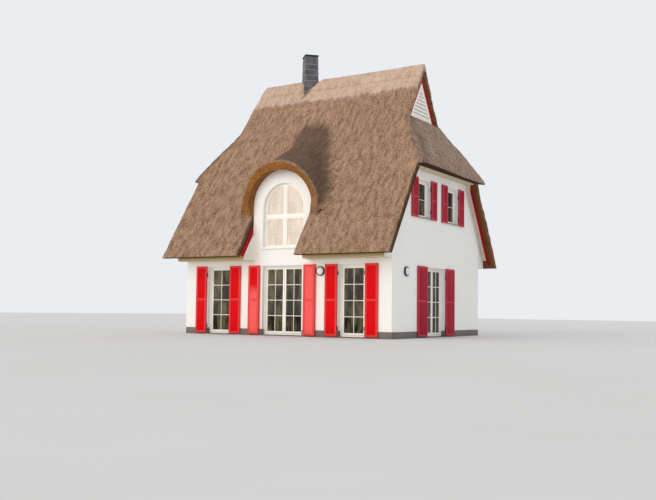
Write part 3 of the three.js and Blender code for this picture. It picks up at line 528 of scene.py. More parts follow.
def slate_finish():
    """Hung slates: each a slightly different dark grey, with riven lines and pale lime at their feet."""
    material, tree, shader, place = finish("hung_slate", specular_ior_level=0.35)
    tone = mapped(tree, "tone")
    foot = mapped(tree, "foot")
    riven = noise(tree, stretched(tree, place, (30, 30, 8)), 1.0, 5, 0.65)
    base = blend(tree, tone, shade(74, 74, 79), shade(106, 105, 110))
    split = blend(tree, span(tree, riven, 0.45, 0.75, 0.0, 0.4), base, shade(118, 117, 118))
    limed = blend(tree, times(tree, foot, 0.6), split, shade(150, 149, 150))
    colour(tree, shader, limed, span(tree, riven, 0.3, 0.7, 0.5, 0.75))
    relief(tree, shader, riven, 0.004, 0.7)
    return material


def metal_finish(name, dark, light, roughness):
    """Dark weathered metal with dull patches and fine pitting."""
    material, tree, shader, place = finish(name, metallic=0.35)
    cloud = use(tree, PATCHES, place, 0.35)[0]
    rough = span(tree, cloud, 0.0, 1.0, roughness, roughness + 0.2)
    colour(tree, shader, blend(tree, cloud, dark, light), rough)
    relief(tree, shader, noise(tree, place, 120.0, 3), 0.0008, 0.6)
    return material


def timber_finish():
    """Bare boards of the upper floor: plank colours, end joints and grain."""
    material, tree, shader, place = finish("floor_boards", roughness=0.6)
    grain = noise(tree, stretched(tree, place, (1.5, 45, 45)), 1.0, 5, 0.6)
    plank = put(tree, "TexBrick", {
        "Vector": place, "Scale": 1.0, "Color1": shade(190, 150, 110), "Color2": shade(164, 124, 88),
        "Mortar": shade(70, 50, 36), "Mortar Size": 0.004, "Brick Width": 2.4, "Row Height": 0.15,
    })
    dark_grain = span(tree, grain, 0.4, 0.7, 0.0, 0.5)
    colour(tree, shader, blend(tree, dark_grain, plank.outputs[0], shade(120, 84, 56)))
    relief(tree, shader, grain, 0.001, 0.5)
    return material


def glass_finish(name, dark, light, clear, rough):
    """Window glass: its colour, in broad soft clouds between two tints, is painted shade of the dim room
    behind it and painted reflection; dust in its gloss; hardly rippled.
    """
    gloss = {"transmission_weight": clear, "ior": 1.5, "specular_ior_level": 0.14}
    material, tree, shader, place = finish(name, **gloss)
    dust_and_reflection = noise(tree, stretched(tree, place, (4.5, 4.5, 1.4)), 1.0, 4, 0.6)
    tint = blend(tree, span(tree, dust_and_reflection, 0.42, 0.64), dark, light)
    colour(tree, shader, tint, span(tree, dust_and_reflection, 0.3, 0.75, rough, rough + 0.05))
    relief(tree, shader, noise(tree, place, 1.7, 1), 0.004, 0.25)
    return material


def opal_finish():
    """Opal glass of the lamps, a little dusty in patches."""
    material, tree, shader, place = finish("opal_glass", coat_weight=0.4)
    dust_and_reflection = noise(tree, place, 18.0, 4, 0.6)
    dusty = blend(tree, span(tree, dust_and_reflection, 0.4, 0.75), shade(246, 245, 240), shade(222, 218, 208))
    colour(tree, shader, dusty, span(tree, dust_and_reflection, 0.3, 0.7, 0.2, 0.4))
    relief(tree, shader, dust_and_reflection, 0.0006, 0.3)
    return material


old_thatch = thatch_finish(
    "weathered_thatch", shade(131, 101, 79), shade(112, 91, 82), shade(162, 129, 104), shade(206, 169, 138),
    0.84,
)
hip_thatch = thatch_finish(
    "hip_thatch", shade(131, 107, 92), shade(112, 95, 88), shade(164, 138, 120), shade(208, 180, 158),
    0.84,
)
new_straw = thatch_finish(
    "ridge_straw", shade(190, 160, 138), shade(184, 160, 144), shade(216, 186, 164), shade(242, 216, 194),
    0.42,
)
limewash = render_finish()
cement = plinth_finish()
PAINT_LINES = (60, 60, 4)
# The raised colours are painted highlights on the frames, and the red gloss's last colour a painted sheen
red_gloss = paint_finish(
    "red_gloss_paint", shade(230, 0, 12), shade(222, 4, 16), shade(120, 8, 14), PAINT_LINES, 0.45,
    shade(226, 70, 68), 0.06, shade(250, 100, 98),
)
# The red paint painted in shade, for the shutters on the right gable
shaded_red_gloss = paint_finish(
    "shaded_red_paint", shade(172, 8, 34), shade(160, 12, 38), shade(84, 12, 20), PAINT_LINES, 0.45,
    shade(196, 56, 76), 0.08,
)
# The red paint painted in shade, for the boards that lie in the thatch's shade
shaded_board_red = paint_finish(
    "shaded_board_paint", shade(176, 10, 24), shade(162, 12, 26), shade(84, 12, 16), PAINT_LINES, 0.5, None, 0.1,
)
white_gloss = paint_finish(
    "white_paint", shade(255, 252, 244), shade(248, 245, 236), shade(198, 192, 178), (60, 60, 5), 0.42,
)
boarding = boarding_finish()
slates = slate_finish()
sill_metal = metal_finish("sill_metal", shade(104, 104, 100), shade(132, 131, 126), 0.45)
lead_sheet = metal_finish("lead_sheet", shade(38, 42, 50), shade(62, 66, 74), 0.45)
black_iron = metal_finish("black_iron", shade(24, 23, 24), shade(46, 44, 44), 0.4)
floor_boards = timber_finish()
# Painted shade of the dim rooms and painted reflections on the panes; painted sky reflection on the bay's
# glass
pane_glass = glass_finish("window_glass", shade(14, 13, 8), shade(100, 94, 66), 0.1, 0.02)
sky_painted_bay_glass = glass_finish("sky_painted_bay_glass", shade(226, 213, 198), shade(246, 233, 218), 0.08, 0.18)
opal_glass = opal_finish()


# Thatch


def edge_steps(start, stop, spacing, soft=0.07):
    """Places from start to stop that crowd together at both ends, where the sheet rounds over."""
    near = soft * np.array([0, 0.06, 0.2, 0.42, 0.7, 1.0])
    middle = np.linspace(start + soft, stop - soft, max(2, int((stop - start) / spacing)))
    return np.concatenate([start + near, middle[1:-1], (stop - near)[::-1]])


def round_over(distance, radius):
    """How far a sheet drops at a distance from its edge: a quarter circle."""
    inside = np.clip(1 - distance / radius, 0, 1)
    return radius * (1 - np.sqrt(1 - inside ** 2))


def facing(grid, centre=(0, 0, 0)):
    """Unit normals of a grid, the cross product of its two directions, turned away from a point inside."""
    normal = np.cross(np.gradient(grid, axis=0), np.gradient(grid, axis=1))
    normal /= np.maximum(np.linalg.norm(normal, axis=-1, keepdims=True), 1e-9)
    return normal * np.sign(np.sum(normal * (grid - centre)))


def shaggy(grid, straw, outwards, amount=1.0):
    """Pushes thatch in and out: broad sags, hand-sized tufts and ends of straw drawn out down the slope."""
    tufts = joined(straw[..., 0] / 0.1, straw[..., 1] / 0.2, 3)
    ends = joined(straw[..., 0] / 0.055, straw[..., 1] / 0.12, 9)
    push = 0.016 * lumps(grid, 0.7) + 0.011 * lumps(tufts, 1) + 0.008 * lumps(ends, 1) - 0.01
    return grid + outwards * (amount * push)[..., None]


def bent(first, tip, last, count):
    """A round nose: points from first to last on the curve drawn by the tip between them."""
    t = np.linspace(0, 1, count)[:, None, None]
    return (1 - t) ** 2 * first + 2 * t * (1 - t) * tip + t ** 2 * last


def nosed(upper, straw, tip, inner, under):
    """A sheet and its straw map with the round nose of its edge added: six rows on the curve that tip draws
    from the last row to inner."""
    nose = bent(upper[-1], tip, inner, 7)[1:]
    return np.vstack([upper, nose]), np.vstack([straw, joined(straw[-1, :, 0], under[:, None])])


def thatched(name, upper, lower, straw, masks, look, node, keep=None):
    """A closed sheet of thatch between two grids, with its straw map. Each mask is a pair of values or grids
    of values, for the upper and the lower side."""
    points, quads, tris, cell, used = thick_sheet(upper, lower, keep)
    maps = {"straw": straw.reshape(-1, 2)[cell]}
    for key, pair in masks.items():
        maps[key] = np.concatenate([np.broadcast_to(side, upper.shape[:2]).ravel() for side in pair])[used]
    make(name, [(points, quads, tris)], look, stands_for=(node,), maps=maps, crease=50)


def flank_shade(points):
    """Where shade is painted on the thatch, with some damp darkening, from 0 to 1: between a line right of
    the hood and its crown, and a little above it, with edges a quarter metre wide."""
    x, z = points[..., 0], points[..., 2]
    right, left = np.interp(z, *FLANK_SHADE_RIGHT), np.interp(z, *FLANK_SHADE_LEFT)
    return smooth((right - x) / 0.36) * smooth((x - left) / 0.36) * (1 - smooth((z - 7.05) / 0.55))


def verge_at(z, over_gablet):
    """Half width of a main slope at a height: at the verge, under the half hip and over the gablet."""
    zs = [2.4, 5.65, 5.76, 5.92, 6.08, 6.25, 6.6] + EDGE_Z
    low = [4.37, 4.37, 4.32, 4.2, 4.07, 3.94, 3.74]
    return eased(z, zs, low + over_gablet, 0.08)


def main_slope(node, way, over_right, notch, droop):
    """One slope of the roof. Rows run down from the ridge, columns across; the upper grid lies on the plane
    that falls at PITCH from the apex, drops by a quarter circle at the verges and the notch, and turns under
    at the eaves with a round nose. The lower grid is the same plane, THATCH further in. way is -1 for the
    front and 1 for the back. Over the gablets the verge is rounder, and under it the cut straws show, as
    they do along the back verge. The eaves droop a little past the boarding."""
    low_tip = (APEX - EAVE_Z) / math.sin(PITCH)
    down = np.linspace(0.3, low_tip - 0.09, 190)
    across = edge_steps(-VERGE_X, VERGE_X, 0.05)
    if notch:
        fields = [(-VERGE_X, notch[0], 0.05), (notch[0], notch[1], 0.06), (notch[1], VERGE_X, 0.05)]
        across = np.unique(np.concatenate([edge_steps(*field) for field in fields]))
    d, share = np.meshgrid(down, across / VERGE_X, indexing="ij")
    z = APEX - d * math.sin(PITCH)
    half = np.where(share > 0, verge_at(z, over_right), verge_at(z, EDGE_LEFT))
    x = share * half

    def plane(x, d, h):
        out = way * (d * math.cos(PITCH) + h * math.sin(PITCH))
        return joined(x, out, APEX - d * math.sin(PITCH) + h * math.cos(PITCH))

    # Where the half hip doesn't cover the verge, and where it runs over the gablet
    open_edge = 1 - smooth((z - 5.3) / 0.15) * (1 - smooth((z - 7.12) / 0.2))
    high = smooth((z - 7.2) / 0.2)
    edge = half - np.abs(x)
    drop = round_over(edge, 0.05 + 0.08 * high) * open_edge
    shadow = ((edge < 0.003) & (open_edge > 0.5)) * (0.85 - 0.6 * high)
    if notch:
        gap = np.maximum(notch[0] - x, x - notch[1])
        beside = (gap > -1e-6) & (z < NOTCH_TOP)
        drop = np.where(beside, np.maximum(drop, round_over(gap, 0.04)), drop)
        shadow = np.where(beside & (gap < 0.003), 0.6, shadow)
    upper = plane(x, d, -drop)
    straw = joined(x + 20, d)
    upper = shaggy(upper, straw, facing(upper))
    tip = plane(x[-1], low_tip, -0.3 * drop[-1])
    inner = plane(x[-1], low_tip, 0)
    inner[:, 1] -= way * 0.085
    inner[:, 2] = EAVE_Z + 0.3 * drop[-1]
    upper, straw = nosed(upper, straw, tip, inner, low_tip + np.linspace(-0.07, 0.03, 6))
    shadow = np.pad(shadow, NOSE_ROWS)
    shadow[-6:] = np.array([0, 0, 0.2, 0.7, 1, 1])[:, None]
    drawn_in = x - np.sign(x) * 0.15 * high * smooth((0.3 - edge) / 0.3)
    under = plane(drawn_in, d, -THATCH + round_over(edge, 0.03) * open_edge)
    under[..., 2] = np.maximum(under[..., 2], EAVE_Z)
    last = np.repeat(under[-1:], 6, 0)
    last[..., 1] = np.clip(last[..., 1], -BOARD_Y, BOARD_Y)
    last[..., 2] = EAVE_Z
    lower = np.vstack([under, last])
    keep = None
    if notch:
        middle = (x[:-1, :-1] + x[1:, 1:]) / 2
        inside = (middle > notch[0]) & (middle < notch[1]) & (z[:-1, :-1] < NOTCH_TOP)
        keep = ~np.pad(inside, NOSE_ROWS, "edge")
    for grid in (upper, lower):
        grid[..., 2] -= droop * smooth((np.abs(grid[..., 1]) - 3.95) / 0.3)
    if way > 0:
        masks = {"shadow": (0.5 * shadow, 0.4), "ends": (0.7 * (shadow > 0), 0.75), "damp_and_shade": (0, 0)}
    else:
        # Painted shade, with some damp darkening, on the front slope beside the hood
        bare, damp_and_shade = (np.pad(values, NOSE_ROWS) for values in (high, flank_shade(plane(x, d, 0))))
        masks = {"shadow": (shadow, 1 - 0.6 * bare), "ends": (0, 0.75 * bare), "damp_and_shade": (damp_and_shade, 0)}
    thatched(node + "_straw", upper, lower, straw, masks, old_thatch, node, keep=keep)


def hip_ring(z):
    """Half length and outer x of the half hip at a height."""
    return (APEX - z) / RISE, np.minimum(eased(z, HIP[:, 1], HIP[:, 0], 0.06), HIP_REACH)


def half_hip(node, way):
    """The half hip: at each height a ring that leaves the front slope, turns the corner on a quarter circle,
    runs along the hip and returns to the back slope. Its foot is a round nose over a level underside, a
    little higher between the corners. The back corner of the right hip is drawn out a little at its foot."""
    turn = 0.05
    z = np.linspace(7.3, 5.44, 46)[:, None]
    half, reach = hip_ring(z)
    side_x = reach - 0.25 + (0.25 - turn) * np.linspace(0, 1, 8)
    side_y = half - 0.03 * (1 - smooth((side_x - reach + 0.25) / 0.1))
    corner = np.linspace(0, math.pi / 2, 9)[1:]
    arc_x = reach - turn + turn * np.sin(corner)
    arc_y = half - turn + turn * np.cos(corner)
    straight = (half - turn) * np.linspace(1, -1, 96)[1:-1]
    end_x = np.broadcast_to(reach, straight.shape)
    ring_x = np.hstack([side_x, arc_x, end_x, arc_x[:, ::-1], side_x[:, ::-1]])
    ring_y = np.hstack([side_y, arc_y, straight, -arc_y[:, ::-1], -side_y[:, ::-1]])
    flare = 0.25 * smooth((ring_x - reach + 0.2) / 0.2) * smooth((5.85 - z) / 0.45) * (way > 0)
    ring_y = ring_y + flare * smooth((ring_y - half + 0.3) / 0.3)
    lift = 0.055 * smooth((ring_y + 2.6) / 0.5) * smooth((1.2 - ring_y) / 3)
    upper = joined(ring_x, ring_y, z + lift * smooth((5.8 - z) / 0.36))
    # The straw map: length run along the ring, and down the slope
    step = np.linalg.norm(np.diff(upper[..., :2], axis=1), axis=-1)
    run = np.hstack([np.zeros((len(z), 1)), np.cumsum(step, 1)])
    fall = np.concatenate([[0], np.cumsum(np.hypot(np.diff(z[:, 0]), np.diff(reach[:, 0])))])
    straw = joined(run - run[:, -1:] / 2, fall[:, None])
    upper = shaggy(upper, straw, facing(upper), 0.8)
    upper[..., 0] = np.minimum(upper[..., 0], HIP_REACH)
    edge = upper[-1]
    foot = 5.395 + lift[-1]
    draw = (foot - edge[:, 2]) / (edge[:, 2] - upper[-4, :, 2])
    tip = edge + (edge - upper[-4]) * draw[:, None]
    tip[:, 0] = np.minimum(tip[:, 0], HIP_REACH)
    inner = tip.copy()
    inner[:, 0] -= 0.07 * smooth((tip[:, 0] - 4.3) / 0.15)
    inner[:, 1] *= 0.97
    inner[:, 2] = foot + 0.005
    upper, straw = nosed(upper, straw, tip, inner, fall[-1] + np.linspace(0.01, 0.1, 6))
    half, reach = hip_ring(np.vstack([z, np.full((6, 1), 5.4)]))
    lower = upper.copy()
    lower[..., 0] = np.minimum(upper[..., 0] - 0.02, reach - 0.25)
    lower[..., 1] = np.clip(upper[..., 1], 0.1 - half, half - 0.1)
    lower[-6:, :, 2] = 5.4
    shadow = np.zeros(upper.shape[:2])
    shadow[-5:] = np.array([0.15, 0.5, 0.9, 1, 1])[:, None]
    # Painted shade, with some damp darkening, on the hip's front part next to the front slope
    damp_and_shade = np.pad(0.55 * smooth((0.9 - (half[:-6] + way * ring_y)) / 0.8), NOSE_ROWS, "edge")
    for grid in (upper, lower):
        grid[..., :2] *= way
    masks = {"shadow": (shadow, 1), "damp_and_shade": (damp_and_shade, 0)}
    thatched(node + "_straw", upper, lower, straw, masks, hip_thatch, node)


def hood_rim(turn):
    """The egg-shaped rim of the hood at an angle in degrees about the middle of its arch: its x, y and z,
    and the inner edge of its cut face. It leans over at the crown, and its feet run back into the slope."""
    knots = [-14, 5, 25, 50, 90, 125, 155, 178, 185, 190, 196]
    outer = [1.48, 1.51, 1.4, 1.365, 1.405, 1.46, 1.415, 1.45, 1.54, 1.66, 1.84]
    inner = [1.16, 1.265, 1.24, 1.2, 1.12, 1.19, 1.21, 1.225, 1.235, 1.24, 1.25]
    around = np.array([np.cos(np.radians(turn)), np.sin(np.radians(turn))])
    edges = []
    for radii, set_back in [(outer, 0.0), (inner, 0.03)]:
        x, z = eased(turn, knots, radii, 5) * around
        y = RIM_Y + set_back - 0.09 * np.maximum(around[1], 0) + 0.2 * smooth((0.02 - z) / 0.5)
        edges.append(joined(x, y, RIM_Z + z))
    return edges


def dormer_hood():
    """The hood: straight lines run back from every point of the rim at the hood's rise until they meet the
    main slope, where they sweep into it on the curve whose square roots of both distances add up to a fixed
    root. The straws' cut ends make a face about a hand wide round the rim and a reveal straight back to the
    wall's arch; behind it the lining follows the same lines, further in."""
    turn = np.linspace(-14, 196, 152)
    across, up = np.cos(np.radians(turn)), np.sin(np.radians(turn))
    rim, front = hood_rim(turn)
    outer = joined(across, HOOD_NARROWING - HOOD_RISE * up, up)
    outer /= np.linalg.norm(outer, axis=1, keepdims=True)
    slope = np.array([0, -math.sin(PITCH), math.cos(PITCH)])
    steep = outer @ slope
    root = 0.34

    def clear(points):
        return (points @ slope) - APEX * math.cos(PITCH)

    def swept(above):
        inside = np.clip(root - (1 - steep) * (root - above), 0, None)
        return np.where(above < root, (math.sqrt(root) - np.sqrt(inside)) / (1 - steep), 0) ** 2

    start = rim - outer * swept(clear(rim))[:, None]
    back = joined(-HOOD_NARROWING * across, 1, HOOD_RISE - HOOD_NARROWING * up)
    gain = -(back @ slope)
    past = 0.03 + 0.14 * smooth((0.12 - steep) / 0.2)
    end = np.maximum((clear(start) + root * steep) / gain + past, 0.14)
    t = 0.06 + (np.linspace(0, 1, 64) ** 0.9)[:, None] * (end - 0.06)
    line = start + t[..., None] * back
    surface = line + swept(clear(line))[..., None] * outer
    straw = joined(1.45 * np.radians(turn), t)
    fade = smooth(np.linspace(0, 1, len(t)) * 6 + 0.15)[:, None]
    surface = shaggy(surface, straw, facing(surface, (0, -3, 4)), fade)
    surface[-5:] -= np.array([0.004, 0.012, 0.024, 0.042, 0.07])[:, None, None] * slope
    # The cut face round the rim, and the nose between it and the surface
    share = np.linspace(0, 1, 8)[:, None, None]
    face = front + (rim - front) * 0.86 * share
    rough = 0.012 * lumps(face, 0.07) + 0.012 * lumps(face, 0.3)
    face[..., 1] += rough * smooth(4 * share[..., 0] * (1 - share[..., 0]))
    nose = bent(face[-1], rim, surface[0], 6)[1:-1]
    upper = np.vstack([face, nose, surface])
    before = np.linspace(-0.3, -0.01, len(face) + len(nose))[:, None]
    straw = np.vstack([joined(straw[0, :, 0], before), straw])
    # The reveal, from the rim's inner edge to the wall's arch, and the lining behind it
    side = np.where(up < 0, np.sign(across), across)
    wall = joined(BAY_R * side, 0.02 - HALF_D, np.where(up < 0, front[:, 2] + 0.04, BAY_Z + BAY_R * up))
    share = np.linspace(0, 1, 14)[:, None, None]
    reveal = front + (wall - front) * share
    uneven = 0.008 * lumps(reveal, 0.08) * smooth(4 * share[..., 0] * (1 - share[..., 0]))
    reveal += outer * uneven[..., None]
    deep = np.linspace(0, 1, len(upper) - 14)[:, None]
    lining = start + (0.45 + deep * np.maximum(end - 0.45, 0.05))[..., None] * back - 0.27 * outer
    lining += slope * np.clip(-0.2 - clear(lining), 0, None)[..., None]
    lining = wall + (lining - wall) * smooth(5 * deep + 0.05)[..., None]
    lower = np.vstack([reveal, lining])
    cut = np.zeros(upper.shape[:2])
    at_foot = smooth((195 - turn) / 14) * smooth((turn + 20) / 42)
    cut[:12] = np.array([1, 1, 1, 1, 1, 1, 1, 1, 0.9, 0.7, 0.4, 0.15])[:, None] * at_foot
    # Painted shade, with some damp darkening, on the hood's right flank
    flank = flank_shade(upper) * smooth((np.arange(len(upper)) - 12)[:, None] / 3)
    masks = {"ends": (cut, 1), "damp_and_shade": (flank, 0)}
    thatched("dormer_hood_straw", upper, lower, straw, masks, old_thatch, "dormer_hood")


def ridge_band():
    """Newer straw bent over the ridge: across, the two slopes raised by the band's thickness and joined by a
    hyperbola over the crest; along, the ridge. Its lower edges wave, and a shorter layer lies on it."""
    left_end, right_end = -3.38, 3.46
    along = edge_steps(left_end, right_end, 0.045)
    over = edge_steps(-1, 1, 0.026, 0.06)
    s, x = np.meshgrid(over, along, indexing="ij")
    side = np.sign(s)

    def scallops(step, seed):
        wander = 0.3 * lumps(joined(x / 0.9, seed, side), 1)
        return np.abs(np.sin(math.pi * (x / step + wander + 0.3 * side)))

    foot = 0.63 + 0.04 * scallops(0.62, 2.0) + 0.035 * lumps(joined(5, side, x), 0.12)
    y = s * foot
    shoulder = 0.36 + 0.03 * scallops(0.5, 7.0)
    second = smooth((shoulder - np.abs(y)) / 0.04)
    thick = 0.05 + 0.032 * second - round_over(foot - np.abs(y), 0.05)
    crest = 0.17
    raised = APEX - np.sqrt((RISE * y) ** 2 + crest ** 2) + crest * 0.13 + thick / math.cos(PITCH)
    end = np.minimum(right_end - x, x - left_end)
    raised = np.minimum(raised - round_over(end, 0.11) + 0.03 * smooth((x - 2.9) / 0.45), 9.28)
    beside_stack = smooth((x - STACK_X + 0.1) / 0.12) * smooth((0.1 - y) / 0.2)
    raised -= 0.16 * beside_stack * smooth((0.66 - np.abs(x - STACK_X) - np.abs(y)) / 0.14)
    lean = np.clip((raised - 8.05) / 1.25, 0, 1) * 0.21
    x_leaned = np.where(x < -3.0, x + lean * (-(x + 3.0) / 0.38), x)
    x_leaned -= 0.06 * smooth((x - 3.0) / 0.4) * smooth(y / 0.3)
    upper = joined(x_leaned, y, raised)
    straw = joined(x, np.abs(y) * 1.84)
    upper = shaggy(upper, straw, facing(upper), 0.8)
    lower = joined(x_leaned, y * 0.985, np.minimum(APEX - RISE * np.abs(y) - 0.05, 9.0))
    step_line = 0.22 * smooth(1 - np.abs(np.abs(y) - shoulder - 0.01) / 0.03)
    shadow = np.maximum(step_line, 0.35 * smooth((np.abs(s) - 0.975) / 0.02))
    masks = {"shadow": (shadow, 0.5)}
    thatched("ridge_straw_band", upper, lower, straw, masks, new_straw, "ridge_cap")


main_slope("thatch_front", -1, EDGE_RIGHT_FRONT, NOTCH, 0.0)
main_slope("thatch_back", 1, EDGE_RIGHT_BACK, None, 0.07)
half_hip("thatch_hip_right", 1)
half_hip("thatch_hip_left", -1)
dormer_hood()
ridge_band()


# Doors and windows

# Heights of the leaves and shutters, and of the arch's spring
DOOR_Z, SHUTTER_Z, UPPER_Z = (0.086, 2.214), (0.04, 2.285), (3.83, 5.11)
SPRING = 4.18
# Depths of door leaves, fixed frames and casements behind the wall's face
DOOR_Y, FIXED_Y, SASH_Y = (0.145, 0.19), (0.12, 0.19), (0.128, 0.182)
# Widths of the openings, and their middles along the walls
SINGLE, DOUBLE, GABLE_DOOR, WINDOW = 0.92, 1.56, 1.4, 0.9
SIDE_DOOR_X, GABLE_DOOR_Y = 2.6, -0.265
WINDOWS = {"front_window": -1.21, "back_window": 1.06}
DOORWAYS = [
    ("front", -SIDE_DOOR_X, SINGLE, ["left_door"]),
    ("front", SIDE_DOOR_X, SINGLE, ["right_door"]),
    ("front", 0, DOUBLE, ["middle_door_left", "middle_door_right"]),
    ("right", GABLE_DOOR_Y, GABLE_DOOR, ["gable_door_front", "gable_door_back"]),
    ("back", -SIDE_DOOR_X, SINGLE, ["rear_door_right"]),
    ("back", SIDE_DOOR_X, SINGLE, ["rear_door_left"]),
    ("back", 0, DOUBLE, ["rear_door_middle_a", "rear_door_middle_b"]),
    ("left", -GABLE_DOOR_Y, GABLE_DOOR, ["left_gable_door_a", "left_gable_door_b"]),
]
SHUTTERS = [
    ("left_door", ("left", "right"), "front", -SIDE_DOOR_X, SINGLE, SHUTTER_Z),
    ("right_door", ("left", "right"), "front", SIDE_DOOR_X, SINGLE, SHUTTER_Z),
    ("gable_door", ("front", "back"), "right", GABLE_DOOR_Y, GABLE_DOOR, SHUTTER_Z),
    ("front_window", ("a", "b"), "right", WINDOWS["front_window"], WINDOW, UPPER_Z),
    ("back_window", ("a", "b"), "right", WINDOWS["back_window"], WINDOW, UPPER_Z),
]


def moulded(width, y0, y1, cut=0.01):
    """Outline of a frame member: flat outside, its inner arrises chamfered towards the glass."""
    near = [(0, y0 + 0.002), (0.002, y0), (width - cut, y0), (width, y0 + cut)]
    return near + [(width, y1 - cut), (width - cut, y1), (0.002, y1), (0, y1 - 0.002)]


def bar_outline(y0, y1):
    """Outline of a glazing bar: a nose on both faces and a shoulder at the glass."""
    h, y = 0.013, (y0 + y1) / 2
    near = [(-h, y - 0.006), (-0.3 * h, y0), (0.3 * h, y0), (h, y - 0.006)]
    return near + [(h, y + 0.006), (0.3 * h, y1), (-0.3 * h, y1), (-h, y + 0.006)]


def rectangle(x0, x1, z0, z1):
    """The four corners of a rectangle, anticlockwise from its lower left one."""
    return [(x0, z0), (x1, z0), (x1, z1), (x0, z1)]


def arch_path(half, foot, x0, x1):
    """Outline of the arched window between two uprights, anticlockwise from its lower left corner."""
    angle = np.linspace(math.acos(x1 / half), math.acos(x0 / half), 28)
    bow = joined(half * np.cos(angle), SPRING + half * np.sin(angle))
    return np.vstack([[(x0, foot), (x1, foot)], bow])


def pane(x0, x1, z0, z1, y):
    """A sheet of old glass: two grids whose faces waver by a fraction of a millimetre."""
    x, z = np.meshgrid(np.linspace(x0, x1, 9), np.linspace(z0, z1, 25), indexing="ij")
    waver = 0.0004 * lumps(joined(x, 0, z), 0.25)
    return thick_sheet(joined(x, y - 0.004 + waver, z), joined(x, y + 0.004 + waver, z))[:3]


def sash(x0, x1, z0, z1, stile, columns, rows, depth):
    """Wooden parts of a glazed leaf: the mitred frame and the bars between its panes."""
    y0, y1 = depth
    parts = [carried(rectangle(x0, x1, z0, z1), moulded(stile, y0, y1), True)]
    wide, tall = x1 - x0 - 2 * stile, z1 - z0 - 2 * stile
    upright, level = bar_outline(y0 + 0.004, y1 - 0.004), bar_outline(y0 + 0.005, y1 - 0.005)
    for c in range(1, columns):
        x = x0 + stile + c * wide / columns
        parts.append(carried([(x, z0 + stile - 0.004), (x, z1 - stile + 0.004)], upright))
    for r in range(1, rows):
        z = z0 + stile + r * tall / rows
        parts.append(carried([(x0 + stile - 0.004, z), (x1 - stile + 0.004, z)], level))
    return parts


def knuckles(axis_x, way):
    """The leaf's hinge barrels on the room side with the plates that carry them."""
    parts = []
    plate = sorted([axis_x + way * 0.003, axis_x + way * 0.055])
    for z in (DOOR_Z[0] + 0.2, DOOR_Z[1] - 0.28):
        parts += [barrel(axis_x, 0.202, 0.008, z, z + 0.08), board(*plate, 0.189, 0.2, z, z + 0.08)]
    return parts


def door_leaf(door, wall, hung, far):
    """A door leaf from its hung edge to its far edge: frame, bars and one sheet of glass. At the front and
    in the right gable it turns on two hinges."""
    x0, x1 = sorted([hung, far])
    way = 1 if far > hung else -1
    name = door + "_leaf"
    body, node = (door, (name,)) if wall in ("front", "right") else ("house", ())
    parts = sash(x0, x1, *DOOR_Z, 0.06, 2, 4, DOOR_Y)
    make(name + "_wood", parts, white_gloss, wall, body, node)
    sheet = [pane(x0 + 0.05, x1 - 0.05, DOOR_Z[0] + 0.05, DOOR_Z[1] - 0.05, sum(DOOR_Y) / 2)]
    make(name + "_glass", sheet, pane_glass, wall, body)
    if node:
        make(name + "_hinges", knuckles(hung - way * 0.003, way), black_iron, wall, body)


def door_leaves(wall, centre, width, doors):
    """The leaves of a doorway, hung at its sides. A single leaf is hung left, but for the right door."""
    x0, x1 = centre - width / 2 + 0.0503, centre + width / 2 - 0.0503
    edges = [(x0 + 0.006, centre - 0.005), (x1 - 0.006, centre + 0.005)]
    if len(doors) == 1:
        edges = [(x1 - 0.006, x0 + 0.005)] if doors == ["right_door"] else [(x0 + 0.006, x1 - 0.005)]
    for door, (hung, far) in zip(doors, edges):
        door_leaf(door, wall, hung, far)


def gable_window(name, wall, centre):
    """A window of one casement with one thin bar in a fixed frame, over a folded metal sill."""
    x0, x1, z0, z1 = centre - 0.4497, centre + 0.4497, 3.8503, 5.0597
    parts = [carried(rectangle(x0, x1, z0, z1), moulded(0.05, *FIXED_Y, 0.006), True)]
    parts += sash(x0 + 0.045, x1 - 0.045, z0 + 0.045, z1 - 0.045, 0.052, 1, 2, SASH_Y)
    node = (name,) if wall == "right" else ()
    make(name + "_wood", parts, white_gloss, wall, stands_for=node)
    sheet = [pane(x0 + 0.08, x1 - 0.08, z0 + 0.08, z1 - 0.08, 0.155)]
    make(name + "_glass", sheet, pane_glass, wall)
    fold = [
        (3.834, -0.045), (3.86, -0.045), (3.872, 0.1), (3.868, 0.1), (3.8535, -0.0003), (3.8485, -0.04),
        (3.834, -0.04),
    ]
    sill = carried([(x0 - 0.011, 0), (x1 + 0.011, 0)], fold)
    make(name + "_sill", [sill], sill_metal, wall)


